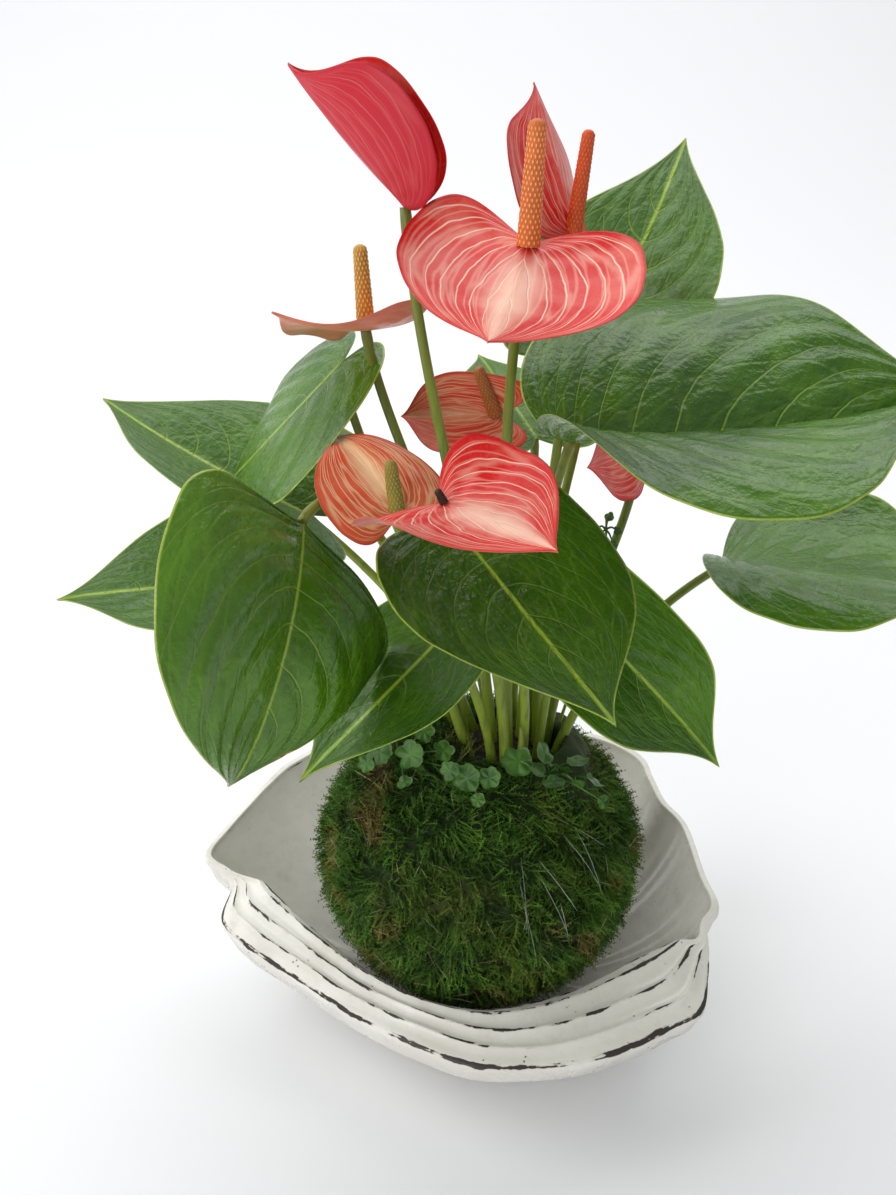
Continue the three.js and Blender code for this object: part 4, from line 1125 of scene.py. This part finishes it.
# rim corners round from the left tip, the front first: outer edge of the band, then its inner edge
outerRim = [
    [-110, 9, 57], [-103, 4, 54], [-99, 0, 48], [-101, -15, 44], [-91, -27, 42], [-80, -35, 40],
    [-66, -46, 39], [-50, -59, 38], [-28, -73, 37], [-4, -84, 36], [20, -85, 36], [38, -83, 37],
    [57, -76, 38], [69, -70, 40], [81, -63, 42], [85, -49, 45], [87, -36, 49], [87, -30, 54],
    [92, -24, 58], [89, -8, 60], [86, 21, 62], [79, 37, 63], [76, 54, 63], [73, 70, 63],
    [60, 84, 63], [38, 92, 63], [-12, 96, 63], [-55, 88, 63], [-80, 69, 62], [-90, 52, 62],
    [-96, 40, 61], [-104, 24, 59],
]
innerRim = [
    [-104, 10, 56], [-95, 2, 54], [-87, -2, 55], [-80, -9, 53], [-70, -19, 50], [-58, -31, 48],
    [-48, -40, 46], [-38, -48, 45], [-24, -57, 44], [-6, -62, 43], [8, -62, 43], [22, -58, 43],
    [34, -54, 44], [45, -49, 46], [59, -42, 49], [70, -37, 51], [78, -33, 53], [81, -28, 55],
    [85, -22, 58], [83, -8, 60], [80, 20, 62], [73, 35, 63], [70, 51, 63], [67, 66, 63],
    [55, 78, 63], [35, 86, 63], [-11, 90, 63], [-51, 83, 63], [-74, 65, 62], [-84, 49, 62],
    [-90, 38, 61], [-98, 23, 59],
]


def bowlShape():
    # profile rows from the foot out, over the rim's band and down the hollow; columns go round
    columns = bowl["columns"]
    n = len(outerRim)
    outer = np.array(outerRim, float)
    inner = np.array(innerRim, float)
    joined = np.hstack([outer, inner])
    fine = []
    t = np.linspace(0, 1, 30, endpoint=False)[:, None]
    for k in range(n):
        a, b, c, d = joined[k - 1], joined[k], joined[(k + 1) % n], joined[(k + 2) % n]
        fine.append(0.5 * (2 * b + (c - a) * t + (2 * a - 5 * b + 4 * c - d) * t ** 2
                           + (3 * b - a - 3 * c + d) * t ** 3))
    fine = np.concatenate(fine)
    closed = np.vstack([fine, fine[:1]])
    along = np.concatenate([[0], np.cumsum(np.linalg.norm(np.diff(closed[:, :3], axis=0), axis=1))])
    want = np.linspace(0, along[-1], columns, endpoint=False)
    both = np.stack([np.interp(want, along, closed[:, k]) for k in range(6)], 1)
    outer, inner = both[:, :3], both[:, 3:]
    share = want / along[-1]
    band = np.linalg.norm(outer[:, :2] - inner[:, :2], axis=1)
    lip = smoothStep(8, 15, band)                       # 1 on the wide front band, 0 on the thin back wall
    inner = outer + (inner - outer) * (0.5 + 0.5 * lip)[:, None]
    wobble = waveNoise(outer, 45, 5)

    def level(p, radius, z):
        flat = p[:, :2] / np.linalg.norm(p[:, :2], axis=1)[:, None] * np.asarray(radius)[..., None]
        return np.concatenate([flat, np.broadcast_to(np.asarray(z, float)[..., None], (columns, 1))], 1)

    plan = lambda p: np.linalg.norm(p[:, :2], axis=1)
    rows, kinds, bands, crests = [], [], [], []

    def add(points, kind, across=0.0, crest=0.0):
        rows.append(points)
        kinds.append(np.full(columns, kind, float))
        bands.append(np.full(columns, across, float))
        crests.append(np.broadcast_to(np.asarray(crest, float), (columns,)))

    foot, floor = bowl["footRadius"], bowl["floorRadius"]
    for r in (0.01, 12, 26, 36):
        add(level(outer, np.full(columns, float(r)), np.full(columns, 1.2 if r < 30 else 0.4)), 0)
    add(level(outer, np.full(columns, foot - 1.0), np.zeros(columns)), 0)
    add(level(outer, np.full(columns, foot), np.full(columns, 0.4)), 0)
    mids = np.linspace(0.04, 0.93, 22)
    for m in mids:
        radius = foot + (plan(outer) - foot) * m ** 0.72 + 0.8 * wobble * math.sin(math.pi * m)
        z = (outer[:, 2] - 7) * (0.03 + 0.97 * m ** 1.25)
        add(level(outer, radius, z), 0)
    under = level(outer, plan(outer) - 1.2, outer[:, 2] - 5)
    add(under, 0.2)
    add(outer + [0, 0, -3], 0.6)
    # across the band: height follows rounded ridges that run along the rim
    steps = np.linspace(0, 1, 44)
    for k, s in enumerate(steps):
        p = outer + (inner - outer) * s
        roundOff = 1.6 * (1 - np.clip(abs(s - 0.5) * 2, 0, 1) ** 6) - 1.0
        drift = 0.10 * np.sin(share * 2 * np.pi * 3 + 1.0) + 0.05 * np.sin(share * 2 * np.pi * 8)
        phase = (s + drift * s * (1 - s) * 2) * bowl["ridges"]
        wave = 1 - np.abs(np.sin(np.pi * phase)) ** 0.8
        height = ((wave - 0.4) * bowl["ridgeDepth"] * lip
                  * math.sin(math.pi * min(max(s, 0.02), 0.98)) ** 0.35)
        p = p + np.stack([np.zeros(columns), np.zeros(columns), height + roundOff], 1)
        add(p, 1.0, s, np.exp(-((wave - 1) / 0.5) ** 2) * lip)
    hollow = np.linspace(0, 1, 40)[1:]
    for m in hollow:
        radius = plan(inner) + (floor - plan(inner)) * m ** 1.15 + bowl["bulge"] * math.sin(math.pi * m)
        z = inner[:, 2] + (bowl["floorHeight"] - inner[:, 2]) * (1 - (1 - m) ** 1.5)
        flute = (0.5 * np.sin(share * 2 * np.pi * 46 + 5 * wobble) * math.sin(math.pi * m)
                 * smoothStep(0.25, 0.5, share) * (1 - smoothStep(0.62, 0.75, share)))
        radius = radius + flute + 1.0 * wobble * math.sin(math.pi * m)
        add(level(inner, radius, z - 0.5 * (1 - m)), 2.0, 1.0)
    for r in (24, 12, 0.01):
        add(level(inner, np.full(columns, float(r)), np.full(columns, bowl["floorHeight"])), 2.0, 1.0)
    return np.stack(rows), np.stack(kinds), np.stack(bands), np.stack(crests), share, lip


glaze = {"white": (0.82, 0.8, 0.745), "warm": (0.73, 0.7, 0.63), "grey": (0.84, 0.81, 0.75),
         "clay": (0.03, 0.022, 0.018), "halo": (0.34, 0.29, 0.23)}


def glazeMaterial():
    material, tree, shader = newMaterial("white glaze")
    where = place(tree)
    worn, inside = attribute(tree, "worn"), attribute(tree, "inside")
    cloud = noise(tree, where, 22.0, 4.0)
    colour = blendColours(tree, ramp(tree, cloud, 0.35, 0.7), glaze["warm"], glaze["white"])
    colour = blendColours(tree, maths(tree, "MULTIPLY", inside, ramp(tree, cloud, 0.35, 0.65, (0.3, 0.75))),
                          colour,
                          glaze["grey"])
    grey = noise(tree, where, 75.0, 5.0)
    colour = blendColours(tree, ramp(tree, grey, 0.55, 0.78, (0.0, 0.4)), colour, (0.45, 0.42, 0.37))
    # dark clay shows where the glaze is thin: long broken lines on the ridges and rims
    lie = tree.nodes.new("ShaderNodeCombineXYZ")
    tree.links.new(attribute(tree, "share"), lie.inputs[0])
    tree.links.new(attribute(tree, "band"), lie.inputs[1])
    stretched = tree.nodes.new("ShaderNodeMapping")
    stretched.inputs["Scale"].default_value = (34, 9, 1)
    tree.links.new(lie.outputs[0], stretched.inputs["Vector"])
    broken = noise(tree, stretched.outputs[0], 1.0, 3.0, 0.6)
    flakes = noise(tree, where, 260.0, 5.0, 0.7)
    chip = maths(tree, "MULTIPLY_ADD", broken, 2.4, maths(tree, "MULTIPLY_ADD", flakes, 0.9, worn))
    chipMask = ramp(tree, chip, 2.5, 2.57)
    specks = ramp(tree, cells(tree, where, 330.0, "F1"), 0.16, 0.1)
    some = ramp(tree, noise(tree, where, 120.0, 3.0), 0.56, 0.62)
    speckMask = maths(tree, "MULTIPLY", maths(tree, "MULTIPLY", specks, some),
                      ramp(tree, inside, 0.0, 0.5, (1.0, 0.25)))
    mask = maths(tree, "MAXIMUM", chipMask, maths(tree, "MULTIPLY", speckMask, 0.8))
    halo = ramp(tree, chip, 2.32, 2.54, (0.0, 0.45))
    colour = blendColours(tree, halo, colour, glaze["halo"])
    colour = blendColours(tree, mask, colour, glaze["clay"])
    put(tree, shader.inputs["Base Color"], colour)
    smooth = ramp(tree, grey, 0.3, 0.7, (0.22, 0.36))
    put(tree, shader.inputs["Roughness"], maths(tree, "MULTIPLY_ADD", mask, 0.4, smooth))
    shader.inputs["Coat Weight"].default_value = 0.25
    shader.inputs["Coat Roughness"].default_value = 0.12
    height = maths(tree, "MULTIPLY_ADD", mask, -1.0,
                   maths(tree, "MULTIPLY", noise(tree, where, 130.0, 3.0), 0.8))
    put(tree, shader.inputs["Normal"], bump(tree, height, 0.4, 0.0009))
    return material


bowlPoints, bowlKind, bowlBand, bowlCrest, bowlShare, bowlLip = bowlShape()
rowCount, columnCount = bowlPoints.shape[:2]
# worn is 1 on the lip's outer and inner edges and on the crests of its ridges, and falls off either side
lipEdge = np.exp(-((bowlBand - 0.03) / 0.05) ** 2) + 0.95 * np.exp(-((bowlBand - 0.98) / 0.04) ** 2)
worn = np.clip(np.maximum(lipEdge, bowlCrest), 0, 1) * (bowlKind > 0.7) * (bowlKind < 1.5)
worn = worn * (0.62 + 0.38 * bowlLip[None])
bowlPiece = makePiece("bowl_fine", bowlPoints, gridFaces(rowCount, columnCount, wrap=True), glazeMaterial(),
                      values={"worn": worn, "inside": np.clip(bowlKind - 1, 0, 1), "band": bowlBand,
                                             "share": np.broadcast_to(bowlShare, worn.shape)},
                      replaces=("bowl",))
closeSeams(bowlPiece)
print("bowl made")


# stage, camera, light

studio = {"floor": (0.87, 0.88, 0.9), "world": 0.46, "window": 9.0, "ceiling": 19.0, "card": 8.0}
floorMesh = bpy.data.meshes.new("floor")
turns = np.linspace(0, 1, 25)
profile = np.array([[-1.6, -0.0002], [0.9, -0.0002]])
arc = np.stack([0.9 + 0.9 * np.sin(turns * np.pi / 2), 0.9 - 0.9 * np.cos(turns * np.pi / 2)], 1)
wall = np.array([[1.8, 2.4]])
section = np.concatenate([profile, arc[1:], wall])
xs = np.array([-2.5, 2.5])
floorPoints = np.array([[x, y, z] for y, z in section for x in xs])
floorMesh.from_pydata(floorPoints.tolist(), [], gridFaces(len(section), 2)[:, ::-1].tolist())
floorMesh.polygons.foreach_set("use_smooth", np.ones(len(section) - 1, bool))
floor = bpy.data.objects.new("floor", floorMesh)
bpy.context.scene.collection.objects.link(floor)
floorSkin, tree, shader = newMaterial("pale backdrop")
shader.inputs["Base Color"].default_value = (*studio["floor"], 1)
shader.inputs["Roughness"].default_value = 0.6
floorMesh.materials.append(floorSkin)


def areaLight(name, at, towards, size, power):
    data = bpy.data.lights.new(name, "AREA")
    data.shape = "RECTANGLE"
    data.size, data.size_y = size
    data.energy = power
    lamp = bpy.data.objects.new(name, data)
    bpy.context.scene.collection.objects.link(lamp)
    aim = np.array(towards, float) - np.array(at, float)
    lamp.location = at
    lamp.rotation_euler = Vector(aim).to_track_quat("-Z", "Y").to_euler()
    return lamp


areaLight("window", (-1.2, 0.2, 1.0), (0, 0, 0.18), (1.0, 1.2), studio["window"])
areaLight("ceiling", (0.1, 0.8, 1.6), (0, 0, 0.1), (2.2, 1.2), studio["ceiling"])
areaLight("front window", (-0.8, -1.2, 0.62), (0, 0, 0.15), (0.9, 0.8), studio["card"])
world = bpy.data.worlds.new("studio")
world.use_nodes = True
world.node_tree.nodes["Background"].inputs[0].default_value = (1, 1, 1, 1)
world.node_tree.nodes["Background"].inputs[1].default_value = studio["world"]
bpy.context.scene.world = world
bpy.context.scene.view_settings.view_transform = "Standard"

cameraData = bpy.data.cameras.new("camera")
cameraData.sensor_fit = "VERTICAL"
cameraData.sensor_height = 36
cameraData.lens = 45.19
camera = bpy.data.objects.new("camera", cameraData)
camera.location = (-0.012, -0.476, 0.432)
camera.rotation_euler = (math.radians(90 - 28.0), 0, 0)
bpy.context.scene.collection.objects.link(camera)
bpy.context.scene.camera = camera
